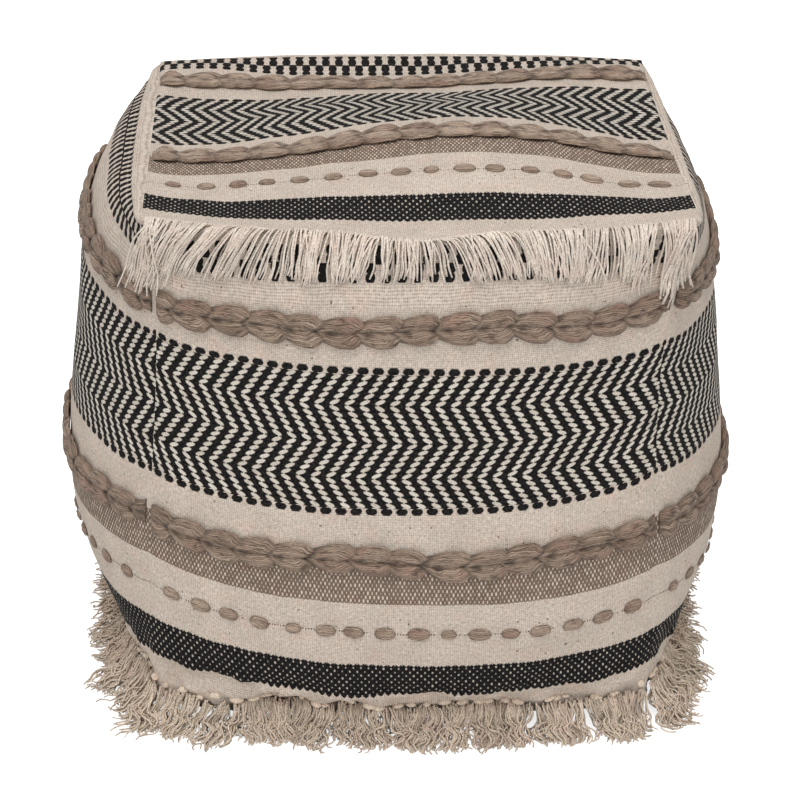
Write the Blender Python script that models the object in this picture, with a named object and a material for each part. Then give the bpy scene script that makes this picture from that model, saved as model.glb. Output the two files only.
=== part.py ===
"""Cube pouf stool: a filled, bulging cube of handwoven striped cloth.

Four side panels and a top panel are cut from one cloth with one stripe repeat. Each panel carries two
plaited braids (the top too) and a row of raised oval tufts. The top panel's front end is a fringe that
hangs over the front panel, and every side panel's lower end is a fringe that spreads on the floor.

Metres, +Z up, the front toward -Y, the origin under the middle of the pouf, on the floor.
Cloth places are given as (side, u, s): u runs from -1 to 1 across a panel, left to right as seen from
outside, and s is the length of cloth from the panel's upper end (for the top panel, from its back end).
"""

import math
import random

import bmesh
import bpy
import numpy as np
from mathutils.bvhtree import BVHTree

# ---------------------------------------------------------------- driving dimensions: the filled cube

# The top panel's corners: x, y and z, in the order front left, front right, back right, back left.
TOP_CORNERS = (
    (-0.182, -0.200, 0.424),
    (0.206, -0.200, 0.423),
    (0.201, 0.194, 0.403),
    (-0.205, 0.193, 0.402),
)
SEAM_WAIST = 0.190         # half the spacing of the corner seams at mid height
SEAM_FOOT = 0.187          # the same at the lower end of the panels
SEAM_SWAY = 0.063          # strength of the cubic that draws the seams in above the waist and out below
SEAM_GROOVE = 0.0045       # depth to which the corner seams are drawn in
SEAM_GROOVE_WIDTH = 0.009  # distance from a seam over which the cloth recovers

# Side panels, in order round the pouf: name, bow and sag of the upper edge, belly beyond the seams, the
# share of the panel's height from the top at which it is widest, how full and how round the shoulder
# above is, how full the hip below is, and the floor fringe's reach.
PANELS = (
    ("front", -0.006, 0.0149, 0.0370, 0.575, 2.1, 2.0, 4.3, 0.029),
    ("right", 0.000, 0.0070, 0.0550, 0.545, 2.1, 1.9, 3.3, 0.036),
    ("back", 0.008, 0.0000, 0.0520, 0.550, 2.5, 2.0, 4.0, 0.038),
    ("left", 0.000, 0.0020, 0.0670, 0.540, 3.4, 2.7, 2.3, 0.037),
)
OUTWARD = ((0, -1, 0), (1, 0, 0), (0, 1, 0), (-1, 0, 0))
FOOT_BOW = 0.0135          # bow of every lower edge
FOOT_FLARE = (0.0, 0.0, 0.0, 0.0130)  # how much further each lower edge flares out
FOOT_HEIGHT = 0.018        # height of the panels' lower edge over the floor
ACROSS_POWER = 2.55        # how full the bulge is across a panel
TUCK = ((0.010, 0.006), (0.020, 0.000))  # below the lower edge: distance inward, height
BODY_ROWS = 16             # rows of points down a side panel
SHOULDER_ROWS = (0.003, 0.014)  # two more, as shares of the height, where the shoulder turns

# Swells of the top panel: x and y of the middle as shares of the half width, height, and their spreads.
TOP_SWELLS = (
    (0.30, -0.050, 0.0205, 0.70, 0.55),
    (-0.45, 0.050, 0.0036, 0.50, 0.50),
    (0.10, -0.720, -0.0039, 0.45, 0.35),
    (0.00, 0.750, -0.0077, 0.50, 0.35),
    (-0.75, 0.650, -0.0079, 0.35, 0.35),
    (-0.80, 0.850, 0.0110, 0.20, 0.22),
    (0.80, 0.850, 0.0050, 0.20, 0.22),
)
TOP_DISH = 0.0126          # the filling lies this far below the seam lines round the top
DISH_POWER = (6, 5)        # how flat the dish is across the panel and along it
EDGE_POWER = (3, 4)        # how close to the edges their bow and sag stay
SWELL_POWER = (4, 6)       # how close to the edges the swells reach, across and along
BACK_ROLL = 0.0100         # the crest over the back seam
ROLL_ROUND = 0.35          # how soon it rises beside the corners
ROLL_END = 0.14            # shares of the panel at which the crest is reached and has faded
ROLL_FADE = 0.54

# ---------------------------------------------------------------- driving dimensions: the cloth

SIDE_LENGTH = 0.408        # cloth of a side panel, from the top seam to the floor fringe
TOP_LENGTH = 0.3975        # cloth of the top panel, from its back seam to the hanging fringe
SIDE_START = 0.0215        # cloth above the stripe repeat on a side panel
TOP_START = 0.0125         # the same on the top panel
UPPER_BRAID = 0.0480       # middles of the trims, measured from the start of the repeat
LOWER_BRAID = 0.2255
DOT_ROW = 0.2865

# How the stripes stray from level, by panel: share of the cloth's length, shift, tilt and bow. On the
# left and the right panel they meet the front's stripes at the corner seams.
STRIPE_DRIFT = {
    0: ((0.00, 0.0, -0.0016, 0.0), (0.16, 0.0, -0.0015, 0.0), (0.24, 0.0, 0.0045, 0.0),
        (0.52, 0.0, 0.0010, 0.0), (0.65, 0.0, 0.0055, 0.0), (1.00, 0.0, 0.0085, 0.0)),
    1: ((0.00, 0.0, 0.0, 0.0), (0.16, -0.0007, 0.0008, 0.0), (0.24, 0.0023, -0.0022, 0.0),
        (0.52, 0.0005, -0.0005, 0.0), (0.65, 0.0028, -0.0027, 0.0), (1.00, 0.0043, -0.0042, 0.0)),
    2: ((0.00, 0.0, 0.0, 0.0), (0.50, 0.0, 0.0, 0.0020), (1.00, 0.0, 0.0, 0.0)),
    3: ((0.00, 0.0, 0.0, 0.0), (0.16, 0.0007, 0.0008, 0.0), (0.24, -0.0023, -0.0022, 0.0),
        (0.52, -0.0005, -0.0005, 0.0), (0.65, -0.0028, -0.0027, 0.0), (1.00, -0.0043, -0.0042, 0.0)),
    "top": ((0.00, 0.0, -0.0030, 0.0105), (0.25, 0.0, -0.0105, 0.0010), (0.50, 0.0, -0.0115, -0.0070),
            (0.75, 0.0, -0.0030, -0.0100), (1.00, 0.0, -0.0045, 0.0015)),
}

# ---------------------------------------------------------------- driving dimensions: the trims

TRIM_GAP = 0.0006          # air between a flat trim and the cloth it lies on
BRAID_GAP = 0.0010         # the same under a braid, whose underside is flat over the bulge
FRINGE_GAP = 0.0010        # the same under the strip of a fringe
SEAT_REACH = 0.03          # distance over the cloth from which a trim is lowered onto it
BRAID_WIDTH = 0.0264
BRAID_HEIGHT = 0.0068
BRAID_LOBES = 14           # overlapping lobes in each of a braid's two rows
BRAID_STEPS = 3            # cross sections to a lobe
BRAID_PHASE = 0.17         # where the lobes begin, as a share of one
BRAID_TAPER = (0.6, 0.55)  # lobes over which an end narrows, and the share of the width it keeps
BRAID_END = 0.968          # share of the half width at which a braid goes into the seam
BRAID_STRAY = 0.0020       # how far a braid strays from its line
BRAID_STRAY_TURN = 6.6     # turn of that wave across half a panel
# A braid's cross section, as shares of its half width and height: underside, edge, ridge over each row
# and the valley between. The second number of a pair is added where a lobe is fullest, at its far end.
BRAID_UNDER = 0.72
BRAID_EDGE = (0.80, 0.20)
BRAID_EDGE_HEIGHT = 0.40
BRAID_RIDGE = 0.46
BRAID_RIDGE_HEIGHT = (0.72, 0.28)
BRAID_VALLEY = 0.66

DOT_COUNT = 16
DOT_LENGTH = 0.0150
DOT_WIDTH = 0.0100
DOT_HEIGHT = 0.0034
DOT_FLAT = 0.45            # share of its half length over which an oval is full
DOT_THREAD = 0.0026        # width of the thread run between two ovals
DOT_THREAD_HEIGHT = 0.0012
DOT_END = 0.97

TOP_FRINGE_LOCKS = 44
TOP_FRINGE_STRIP = (0.0045, 0.0100)  # cloth places of the strip's upper and lower edge
TOP_FRINGE_REACH = (0.025, 0.038)  # a lock's length below the strip, in the middle and at the ends
TOP_FRINGE_UNEVEN = 0.86   # the shortest lock, as a share of the longest
TOP_FRINGE_LEAN = (0.004, 0.008)   # sideways lean of a lock: random, and outward at the ends
# Rings of a hanging lock: share of its length, of its width, and the heights of its two faces.
TOP_FRINGE_RINGS = ((0.5, 0.80, 0.0016, 0.0052), (1.0, 0.55, 0.0012, 0.0034))
FLOOR_FRINGE_LOCKS = 26
FLOOR_FRINGE_STRIP = (0.394, 0.403)
FLOOR_FRINGE_FAN = 0.72    # turn of the outermost locks toward the corner, in radians
FLOOR_FRINGE_STRAY = 0.07  # random turn of a lock
FLOOR_FRINGE_UNEVEN = 0.78
FLOOR_FRINGE_OUT = 0.004   # a lock reaches the floor this far out from its root
# Rings of a lying lock: share of its length, of its width, and its height.
FLOOR_FRINGE_RINGS = ((0.34, 0.95, 0.0075), (1.0, 0.60, 0.0032))
STRIP_THICKNESS = 0.0026
LOCK_SHARE = 0.72          # share of the fringe's pitch taken by a lock's root
FRINGE_END = 0.955

# ---------------------------------------------------------------- materials: colour and roughness

MATERIALS = {
    "cream_cloth": ((0.60, 0.52, 0.45, 1.0), 0.95),
    "taupe_yarn": ((0.25, 0.18, 0.135, 1.0), 0.92),
    "fringe_yarn": ((0.54, 0.44, 0.35, 1.0), 0.94),
}


# ---------------------------------------------------------------- the surface of the filled cube


def rise(low, high, value):
    """0 below low and 1 above high, with a smooth step between."""
    share = np.clip((value - low) / (high - low), 0, 1)
    return share * share * (3 - 2 * share)


def seam_point(corner, v):
    """A corner seam at the share v of its height: a curve through its top, waist and foot, swaying
    in above the waist and out below it."""
    top = np.array(TOP_CORNERS[corner])
    side_x = math.copysign(1.0, top[0])
    side_y = math.copysign(1.0, top[1])
    waist = np.array((side_x * SEAM_WAIST, side_y * SEAM_WAIST, 0.5 * (top[2] + FOOT_HEIGHT)))
    foot = np.array((side_x * SEAM_FOOT, side_y * SEAM_FOOT, FOOT_HEIGHT))
    v = np.asarray(v, float)[..., None]
    curve = top * (1 - v) * (1 - 2 * v) + waist * 4 * v * (1 - v) + foot * v * (2 * v - 1)
    sway = SEAM_SWAY * v * (1 - v) * (1 - 2 * v) + SEAM_GROOVE * np.sin(math.pi * v) ** 0.5
    return curve - np.array((side_x, side_y, 0.0)) * sway


def side_point(side, u, v):
    """A point of a side panel: between its two seams, pushed outward by a bulge that is a power curve
    across the panel and, over its height, rises from the upper bow to the belly and falls to the foot."""
    _, bow, sag, belly, widest, shoulder, roundness, hip, _ = PANELS[side]
    u = np.asarray(u, float)
    v = np.asarray(v, float)
    left = seam_point(side, v)
    right = seam_point((side + 1) % 4, v)
    across = 1 - np.abs(u) ** ACROSS_POWER
    above = 1 - np.clip((widest - v) / widest, 0, 1) ** shoulder
    above = above ** (1 / roundness)
    below = 1 - np.clip((v - widest) / (1 - widest), 0, 1) ** hip
    foot = FOOT_BOW * v + FOOT_FLARE[side] * v ** 4
    swell = bow * (1 - v) + foot + belly * np.minimum(above, below)
    recover = 1 - np.exp(-(1 - np.abs(u)) * SEAM_WAIST / SEAM_GROOVE_WIDTH)
    swell = swell * across + SEAM_GROOVE * recover * np.sin(math.pi * v) ** 0.5
    point = left * (1 - u[..., None]) / 2 + right * (1 + u[..., None]) / 2
    point = point + np.array(OUTWARD[side], float) * swell[..., None]
    point[..., 2] -= sag * across * (1 - v) ** 2
    return point


def top_point(u, v):
    """A point of the top panel: between its four corners, bowed with the edges, dished inside the
    seams, raised by a few soft swells and by the crest over the back seam."""
    u = np.asarray(u, float)
    v = np.asarray(v, float)
    w = 2 * v - 1
    front_left, front_right, back_right, back_left = (np.array(c) for c in TOP_CORNERS)
    right = ((1 + u) / 2)[..., None]
    front = v[..., None]
    point = (front_left * (1 - right) + front_right * right) * front
    point = point + (back_left * (1 - right) + back_right * right) * (1 - front)
    across_u = np.clip(1 - np.abs(u) ** ACROSS_POWER, 0, 1)
    across_w = np.clip(1 - np.abs(w) ** ACROSS_POWER, 0, 1)
    side_bow = np.where(u > 0, PANELS[1][1], -PANELS[3][1])
    end_bow = np.where(w > 0, -PANELS[0][1], PANELS[2][1])
    point[..., 0] += side_bow * across_w * np.abs(u) ** EDGE_POWER[0]
    point[..., 1] += end_bow * across_u * np.abs(w) ** EDGE_POWER[0]
    side_sag = np.where(u > 0, PANELS[1][2], PANELS[3][2])
    end_sag = np.where(w > 0, PANELS[0][2], PANELS[2][2])
    point[..., 2] -= end_sag * np.abs(w) ** EDGE_POWER[1] * across_u
    point[..., 2] -= side_sag * np.abs(u) ** EDGE_POWER[1] * across_w
    point[..., 2] -= TOP_DISH * (1 - np.abs(u) ** DISH_POWER[0]) * (1 - np.abs(w) ** DISH_POWER[1])
    roll = np.sqrt(1 - (1 - np.clip(v / ROLL_END, 0, 1)) ** 2) * (1 - rise(ROLL_END, ROLL_FADE, v))
    point[..., 2] += BACK_ROLL * across_u ** ROLL_ROUND * roll
    inside = (1 - u ** SWELL_POWER[0]) * (1 - w ** SWELL_POWER[1])
    for middle_x, middle_y, height, spread_x, spread_y in TOP_SWELLS:
        bell = np.exp(-((u - middle_x) / spread_x) ** 2 - ((w + middle_y) / spread_y) ** 2)
        point[..., 2] += height * bell * inside
    return point


def surface_point(side, u, v):
    """A point of panel 0 to 3 (the sides) or of the top panel."""
    return top_point(u, v) if side == "top" else side_point(side, u, v)


def surface_normal(side, u, v):
    """The outward normal there, from small steps along the surface."""
    step = 1e-3
    along_u = surface_point(side, u + step, v) - surface_point(side, u - step, v)
    along_v = surface_point(side, u, v + step) - surface_point(side, u, v - step)
    normal = np.cross(along_v, along_u)
    return normal / np.linalg.norm(normal, axis=-1, keepdims=True)


def share_at(side, u, s):
    """The share v at which the cloth length s lies, for each u: every line down a panel holds the
    same length of cloth, so s is spread over it by its own length."""
    length = TOP_LENGTH if side == "top" else SIDE_LENGTH
    u = np.asarray(u, float)
    s = np.broadcast_to(np.asarray(s, float), u.shape)
    steps = np.linspace(0, 1, 81)
    shares = np.empty(u.shape)
    for index, (one_u, one_s) in enumerate(zip(u, s)):
        line = surface_point(side, np.full(steps.shape, one_u), steps)
        run = np.concatenate(([0.0], np.cumsum(np.linalg.norm(np.diff(line, axis=0), axis=1))))
        shares[index] = np.interp(one_s / length * run[-1], run, steps)
    return shares


def drift(side, u, s):
    """How far down the stripes lie from their even place, at each u."""
    length = TOP_LENGTH if side == "top" else SIDE_LENGTH
    place, shift, tilt, bow = np.array(STRIPE_DRIFT[side]).T
    share = s / length
    level = np.interp(share, place, shift)
    return level + np.interp(share, place, tilt) * u + np.interp(share, place, bow) * (1 - 2 * u * u)


def cloth_frame(side, u, s):
    """Points of the cloth at (u, s) with their outward normals and the directions across and down."""
    u = np.asarray(u, float)
    v = share_at(side, u, s)
    point = surface_point(side, u, v)
    normal = surface_normal(side, u, v)
    across = surface_point(side, u + 1e-3, v) - surface_point(side, u - 1e-3, v)
    across /= np.linalg.norm(across, axis=-1, keepdims=True)
    down = np.cross(across, normal)
    return point, normal, across, down


def seated(cloth, points, normals, lift):
    """The points moved along their normals to stand the given lift over the filled cube."""
    lift = np.broadcast_to(lift, (len(points),))
    placed = np.empty(np.shape(points))
    for index, (point, normal) in enumerate(zip(points, normals)):
        hit = cloth.ray_cast(tuple(point + normal * SEAT_REACH), tuple(-normal))[0]
        placed[index] = np.array(point if hit is None else hit) + normal * lift[index]
    return placed


# ---------------------------------------------------------------- making objects


def clear_scene():
    """Remove every object and mesh, so that the script can be run again."""
    for item in list(bpy.data.objects):
        bpy.data.objects.remove(item, do_unlink=True)
    for mesh in list(bpy.data.meshes):
        bpy.data.meshes.remove(mesh)


def make_material(name):
    """A plain matt material of the named colour."""
    color, roughness = MATERIALS[name]
    material = bpy.data.materials.new(name)
    material.use_nodes = True
    shader = material.node_tree.nodes["Principled BSDF"]
    shader.inputs["Base Color"].default_value = color
    shader.inputs["Roughness"].default_value = roughness
    shader.inputs["Metallic"].default_value = 0.0
    material.diffuse_color = color
    return material


def make_solid(name, points, faces, material, parent):
    """One closed, smooth-shaded solid with its faces outward."""
    mesh = bpy.data.meshes.new(name)
    mesh.from_pydata([tuple(p) for p in points], [], faces)
    work = bmesh.new()
    work.from_mesh(mesh)
    bmesh.ops.remove_doubles(work, verts=work.verts, dist=1e-6)
    bmesh.ops.triangulate(work, faces=work.faces)
    bmesh.ops.recalc_face_normals(work, faces=work.faces)
    work.to_mesh(mesh)
    work.free()
    mesh.shade_smooth()
    mesh.materials.append(material)
    solid = bpy.data.objects.new(name, mesh)
    bpy.context.collection.objects.link(solid)
    solid.parent = parent
    return solid


def mesh_tree(solid):
    """A search tree of a solid's faces, for seating the trims on it."""
    work = bmesh.new()
    work.from_mesh(solid.data)
    tree = BVHTree.FromBMesh(work)
    work.free()
    return tree


def loft(sections):
    """Points and faces of a closed tube through sections of equal point count, capped at both ends."""
    count, sides = sections.shape[:2]
    faces = []
    for row in range(count - 1):
        for column in range(sides):
            nearby = (column + 1) % sides
            a = row * sides + column
            b = row * sides + nearby
            faces.append((a, b, b + sides, a + sides))
    faces.append(tuple(reversed(range(sides))))
    faces.append(tuple(range((count - 1) * sides, count * sides)))
    return sections.reshape(-1, 3), faces


# ---------------------------------------------------------------- the filled cube


def grid_lines():
    """Shares across a panel, closer together beside the seams, where the cloth turns in."""
    inner = np.linspace(-0.9, 0.9, 15)
    edge = np.array((-1.0, -0.975, -0.945))
    return np.concatenate((edge, inner, -edge[::-1]))


def grid(points):
    """The faces of a grid of points, rows by columns, as point quadruples."""
    rows, columns = points.shape[:2]
    quads = []
    for row in range(rows - 1):
        for column in range(columns - 1):
            quads.append((points[row, column], points[row, column + 1],
                          points[row + 1, column + 1], points[row + 1, column]))
    return quads


def make_body(material, parent):
    """The filled cube: four side panels, the top panel and the flat base, as one solid."""
    lines = grid_lines()
    even = np.linspace(0, 1, BODY_ROWS)
    eased = 0.5 - 0.5 * np.cos(math.pi * even)
    heights = np.insert(0.5 * (even + eased), 1, SHOULDER_ROWS)
    across, down = np.meshgrid(lines, heights)
    quads = []
    outline = []
    for side in range(4):
        panel = side_point(side, across, down)
        foot = panel[-1]
        rows = [panel]
        for inward, height in TUCK:
            ring = foot * (1 - inward / SEAM_FOOT)
            ring[:, 2] = height
            rows.append(ring[None])
        panel = np.concatenate(rows)
        quads += grid(panel)
        outline += list(panel[-1][:-1])
    across, down = np.meshgrid(lines, 0.5 * (lines + 1))
    quads += grid(top_point(across, down))
    points = [point for quad in quads for point in quad]
    faces = [tuple(range(4 * i, 4 * i + 4)) for i in range(len(quads))]
    faces.append(tuple(range(len(points), len(points) + len(outline))))
    return make_solid("body", points + outline, faces, material, parent)


# ---------------------------------------------------------------- braids and dot rows


def make_braid(name, cloth, side, s, phase, material, parent):
    """A plait lying on the cloth: a tube with a flat underside and two rows of lobes side by side.
    Each lobe grows along the braid and ends over the start of the next, and the rows meet in a valley."""
    count = BRAID_LOBES * BRAID_STEPS + 1
    u = np.linspace(-BRAID_END, BRAID_END, count)
    along = np.linspace(0, BRAID_LOBES, count)
    line = s + BRAID_STRAY * np.sin(BRAID_STRAY_TURN * u + phase)
    point, normal, _, down = cloth_frame(side, u, line + drift(side, u, line))
    full = np.mod(along + BRAID_PHASE, 1.0)
    from_end = BRAID_LOBES / 2 - np.abs(along - BRAID_LOBES / 2)
    taper = np.clip(from_end / BRAID_TAPER[0], BRAID_TAPER[1], 1.0)
    half = 0.5 * BRAID_WIDTH * taper
    height = BRAID_HEIGHT * taper
    edge = (BRAID_EDGE[0] + BRAID_EDGE[1] * full) * half
    ridge_height = (BRAID_RIDGE_HEIGHT[0] + BRAID_RIDGE_HEIGHT[1] * full) * height
    outline = (
        (-BRAID_UNDER * half, 0 * height),
        (-edge, BRAID_EDGE_HEIGHT * height),
        (-BRAID_RIDGE * half, ridge_height),
        (0 * half, BRAID_VALLEY * height),
        (BRAID_RIDGE * half, ridge_height),
        (edge, BRAID_EDGE_HEIGHT * height),
        (BRAID_UNDER * half, 0 * height),
    )
    sections = np.empty((count, len(outline), 3))
    for index, (sideways, upward) in enumerate(outline):
        beside = point + down * sideways[:, None]
        sections[:, index] = seated(cloth, beside, normal, upward + BRAID_GAP)
    points, faces = loft(sections)
    return make_solid(name, points, faces, material, parent)


def make_dot_row(name, cloth, side, s, material, parent):
    """A thread run along the cloth that swells into a flat oval tuft at every pitch."""
    pitch = 2 * DOT_END / DOT_COUNT
    reach = 0.5 * DOT_LENGTH / SEAM_WAIST
    stations = [-DOT_END]
    widths = [DOT_THREAD]
    heights = [DOT_THREAD_HEIGHT]
    for dot in range(DOT_COUNT):
        middle = -DOT_END + pitch * (dot + 0.5)
        for offset, swell in ((-1.0, 0.0), (-DOT_FLAT, 1.0), (DOT_FLAT, 1.0), (1.0, 0.0)):
            stations.append(middle + offset * reach)
            widths.append(DOT_THREAD + (DOT_WIDTH - DOT_THREAD) * swell)
            heights.append(DOT_THREAD_HEIGHT + (DOT_HEIGHT - DOT_THREAD_HEIGHT) * swell)
    stations.append(DOT_END)
    widths.append(DOT_THREAD)
    heights.append(DOT_THREAD_HEIGHT)
    half = 0.5 * np.array(widths)
    height = np.array(heights)
    u = np.array(stations)
    point, normal, _, down = cloth_frame(side, u, s + drift(side, u, s))
    outline = ((-half, 0 * height), (0 * half, height), (half, 0 * height))
    sections = np.empty((len(stations), len(outline), 3))
    for index, (sideways, upward) in enumerate(outline):
        beside = point + down * sideways[:, None]
        sections[:, index] = seated(cloth, beside, normal, upward + TRIM_GAP)
    points, faces = loft(sections)
    return make_solid(name, points, faces, material, parent)


# ---------------------------------------------------------------- fringes


def strip_stations(locks):
    """Shares across the panel of the edges of a fringe's columns: a lock, a narrow space, a lock."""
    pitch = 2 * FRINGE_END / locks
    stations = []
    for lock in range(locks):
        start = -FRINGE_END + pitch * lock + 0.5 * pitch * (1 - LOCK_SHARE)
        stations += [start, start + pitch * LOCK_SHARE]
    return np.array(stations)


def strip_sections(cloth, side, stations, strip):
    """The strip's cross sections: inner and outer points at its upper and its lower edge."""
    sections = np.empty((len(stations), 4, 3))
    upper, upper_normal, _, _ = cloth_frame(side, stations, strip[0])
    lower, lower_normal, _, _ = cloth_frame(side, stations, strip[1])
    outer = FRINGE_GAP + STRIP_THICKNESS
    sections[:, 0] = seated(cloth, upper, upper_normal, FRINGE_GAP)
    sections[:, 1] = seated(cloth, upper, upper_normal, outer)
    sections[:, 2] = seated(cloth, lower, lower_normal, outer)
    sections[:, 3] = seated(cloth, lower, lower_normal, FRINGE_GAP)
    return sections


def fringe_solid(name, sections, locks, material, parent):
    """A strip with a lock drawn out of every other face of its lower edge. Each lock is a list of
    four-point rings, in the order outer left, outer right, inner right, inner left."""
    points = [tuple(p) for p in sections.reshape(-1, 3)]
    columns = len(sections) - 1
    faces = [(0, 1, 2, 3), tuple(4 * columns + i for i in (3, 2, 1, 0))]
    for column in range(columns):
        a = 4 * column
        b = a + 4
        faces.append((a, b, b + 1, a + 1))
        faces.append((a + 1, b + 1, b + 2, a + 2))
        faces.append((a + 3, b + 3, b, a))
        if column % 2:
            faces.append((a + 2, b + 2, b + 3, a + 3))
            continue
        ring = [a + 2, b + 2, b + 3, a + 3]
        for outline in locks[column // 2]:
            start = len(points)
            points += [tuple(p) for p in outline]
            drawn = list(range(start, start + 4))
            for edge in range(4):
                following = (edge + 1) % 4
                faces.append((ring[edge], ring[following], drawn[following], drawn[edge]))
            ring = drawn
        faces.append(tuple(ring))
    return make_solid(name, points, faces, material, parent)


def lock_ring(middle, across, upward, width, low, high):
    """A lock's ring: its width across, and its lower (inner) and upper (outer) side."""
    left = middle - across * (0.5 * width)
    right = middle + across * (0.5 * width)
    return (left + upward * high, right + upward * high, right + upward * low, left + upward * low)


def make_top_fringe(cloth, material, parent):
    """The fringe at the top panel's front end: its locks hang down over the front panel."""
    rng = random.Random(4)
    stations = strip_stations(TOP_FRINGE_LOCKS)
    sections = strip_sections(cloth, 0, stations, TOP_FRINGE_STRIP)
    root = TOP_FRINGE_STRIP[1]
    locks = []
    for lock in range(TOP_FRINGE_LOCKS):
        u = 0.5 * (stations[2 * lock] + stations[2 * lock + 1])
        width = (stations[2 * lock + 1] - stations[2 * lock]) * SEAM_WAIST
        lean = rng.uniform(-TOP_FRINGE_LEAN[0], TOP_FRINGE_LEAN[0]) + TOP_FRINGE_LEAN[1] * u
        reach = TOP_FRINGE_REACH[0] + (TOP_FRINGE_REACH[1] - TOP_FRINGE_REACH[0]) * abs(u) ** 3
        reach *= rng.uniform(TOP_FRINGE_UNEVEN, 1.0)
        rings = []
        for share, narrow, low, high in TOP_FRINGE_RINGS:
            place = np.array([u + lean * share / SEAM_WAIST])
            point, normal, across, _ = cloth_frame(0, place, root + reach * share)
            point = seated(cloth, point, normal, 0.0)
            rings.append(lock_ring(point[0], across[0], normal[0], width * narrow, low, high))
        locks.append(rings)
    return fringe_solid("fringe_top", sections, locks, material, parent)


def make_floor_fringe(cloth, side, material, parent):
    """The fringe at a side panel's lower end: its locks fall to the floor, lie level on it and fan
    out toward the corners."""
    rng = random.Random(20 + side)
    stations = strip_stations(FLOOR_FRINGE_LOCKS)
    sections = strip_sections(cloth, side, stations, FLOOR_FRINGE_STRIP)
    outward = np.array(OUTWARD[side], float)
    across = np.cross((0.0, 0.0, 1.0), outward)
    upward = np.array((0.0, 0.0, 1.0))
    locks = []
    for lock in range(FLOOR_FRINGE_LOCKS):
        root = 0.25 * (sections[2 * lock, 2:] + sections[2 * lock + 1, 2:]).sum(axis=0)
        u = 0.5 * (stations[2 * lock] + stations[2 * lock + 1])
        width = np.linalg.norm(sections[2 * lock + 1, 2] - sections[2 * lock, 2])
        turn = FLOOR_FRINGE_FAN * u ** 3 + rng.uniform(-FLOOR_FRINGE_STRAY, FLOOR_FRINGE_STRAY)
        heading = outward * math.cos(turn) + across * math.sin(turn)
        sideways = np.cross(upward, heading)
        reach = PANELS[side][-1] * rng.uniform(FLOOR_FRINGE_UNEVEN, 1.0)
        rings = []
        for share, narrow, high in FLOOR_FRINGE_RINGS:
            middle = root + heading * (FLOOR_FRINGE_OUT + reach * share)
            middle[2] = 0.0
            rings.append(lock_ring(middle, sideways, upward, width * narrow, 0.0, high))
        locks.append(rings)
    return fringe_solid("fringe_" + PANELS[side][0], sections, locks, material, parent)


# ---------------------------------------------------------------- the whole


def centre_over_origin(root, solids):
    """Move the whole so that the middle of its outline lies over the origin."""
    points = np.array([tuple(vertex.co) for solid in solids for vertex in solid.data.vertices])
    middle = 0.5 * (points.min(axis=0) + points.max(axis=0))
    root.location = (-middle[0], -middle[1], 0.0)


def main():
    clear_scene()
    root = bpy.data.objects.new("pouf", None)
    bpy.context.collection.objects.link(root)
    cream = make_material("cream_cloth")
    taupe = make_material("taupe_yarn")
    fringe = make_material("fringe_yarn")
    body = make_body(cream, root)
    cloth = mesh_tree(body)
    solids = [body]
    for side in range(4):
        name = PANELS[side][0]
        upper = SIDE_START + UPPER_BRAID
        lower = SIDE_START + LOWER_BRAID
        solids.append(make_braid("braid_upper_" + name, cloth, side, upper, side, taupe, root))
        solids.append(make_braid("braid_lower_" + name, cloth, side, lower, side + 2, taupe, root))
        solids.append(make_dot_row("dots_" + name, cloth, side, SIDE_START + DOT_ROW, taupe, root))
        solids.append(make_floor_fringe(cloth, side, fringe, root))
    solids.append(make_braid("braid_top_back", cloth, "top", TOP_START + UPPER_BRAID, 1.0, taupe, root))
    solids.append(make_braid("braid_top_front", cloth, "top", TOP_START + LOWER_BRAID, 3.0, taupe, root))
    solids.append(make_dot_row("dots_top", cloth, "top", TOP_START + DOT_ROW, taupe, root))
    solids.append(make_top_fringe(cloth, fringe, root))
    centre_over_origin(root, solids)


main()
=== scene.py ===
"""Cube pouf stool, dressed: a filled cube of handwoven striped cloth with plaits, tufts and fringes.

Every panel is worked out on cloth places (side, u, s): u runs from -1 to 1 across the panel, left to right
as seen from outside, and s is the length of cloth in metres from the panel's upper end (for the top panel,
from its back end). Sides 0 to 3 are front, right, back and left, and 4 is the top.
"""

import math

import bmesh
import bpy
import numpy as np
from mathutils import Matrix


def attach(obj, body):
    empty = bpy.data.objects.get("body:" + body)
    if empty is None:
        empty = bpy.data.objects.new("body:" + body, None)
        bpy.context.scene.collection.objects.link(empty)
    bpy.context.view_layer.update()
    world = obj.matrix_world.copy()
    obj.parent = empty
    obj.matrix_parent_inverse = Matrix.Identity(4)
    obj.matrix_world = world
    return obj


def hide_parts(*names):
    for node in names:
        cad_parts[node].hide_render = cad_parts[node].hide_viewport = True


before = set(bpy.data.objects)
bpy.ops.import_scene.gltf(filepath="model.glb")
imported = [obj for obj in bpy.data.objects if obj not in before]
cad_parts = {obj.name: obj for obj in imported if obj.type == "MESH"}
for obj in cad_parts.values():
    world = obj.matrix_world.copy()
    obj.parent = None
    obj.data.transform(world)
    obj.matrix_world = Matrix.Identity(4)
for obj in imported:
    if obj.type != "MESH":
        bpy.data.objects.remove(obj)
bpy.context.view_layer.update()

# ---------------------------------------------------------------- sizes of the filled cube, in metres

# The top panel's corners: x, y and z, in the order front left, front right, back right, back left.
TOP_CORNERS = (
    (-0.182, -0.200, 0.424),
    (0.206, -0.200, 0.423),
    (0.201, 0.194, 0.403),
    (-0.205, 0.193, 0.402),
)
SEAM_WAIST = 0.190        # from the cube's middle to a corner seam in x and y, halfway up
SEAM_FOOT = 0.187         # the same at the foot
SEAM_SWAY = 0.0063        # how far a seam sways in above its middle and out below it
SEAM_GROOVE = 0.0045      # depth of the groove along a seam
SEAM_GROOVE_WIDTH = 0.009
FOOT_HEIGHT = 0.018       # where the side panels end and roll under
FOOT_BOW = 0.0135         # how far a panel bows outward at its foot
ACROSS_POWER = 2.55       # of the bulge across a panel: flatter in its middle as it grows

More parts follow.
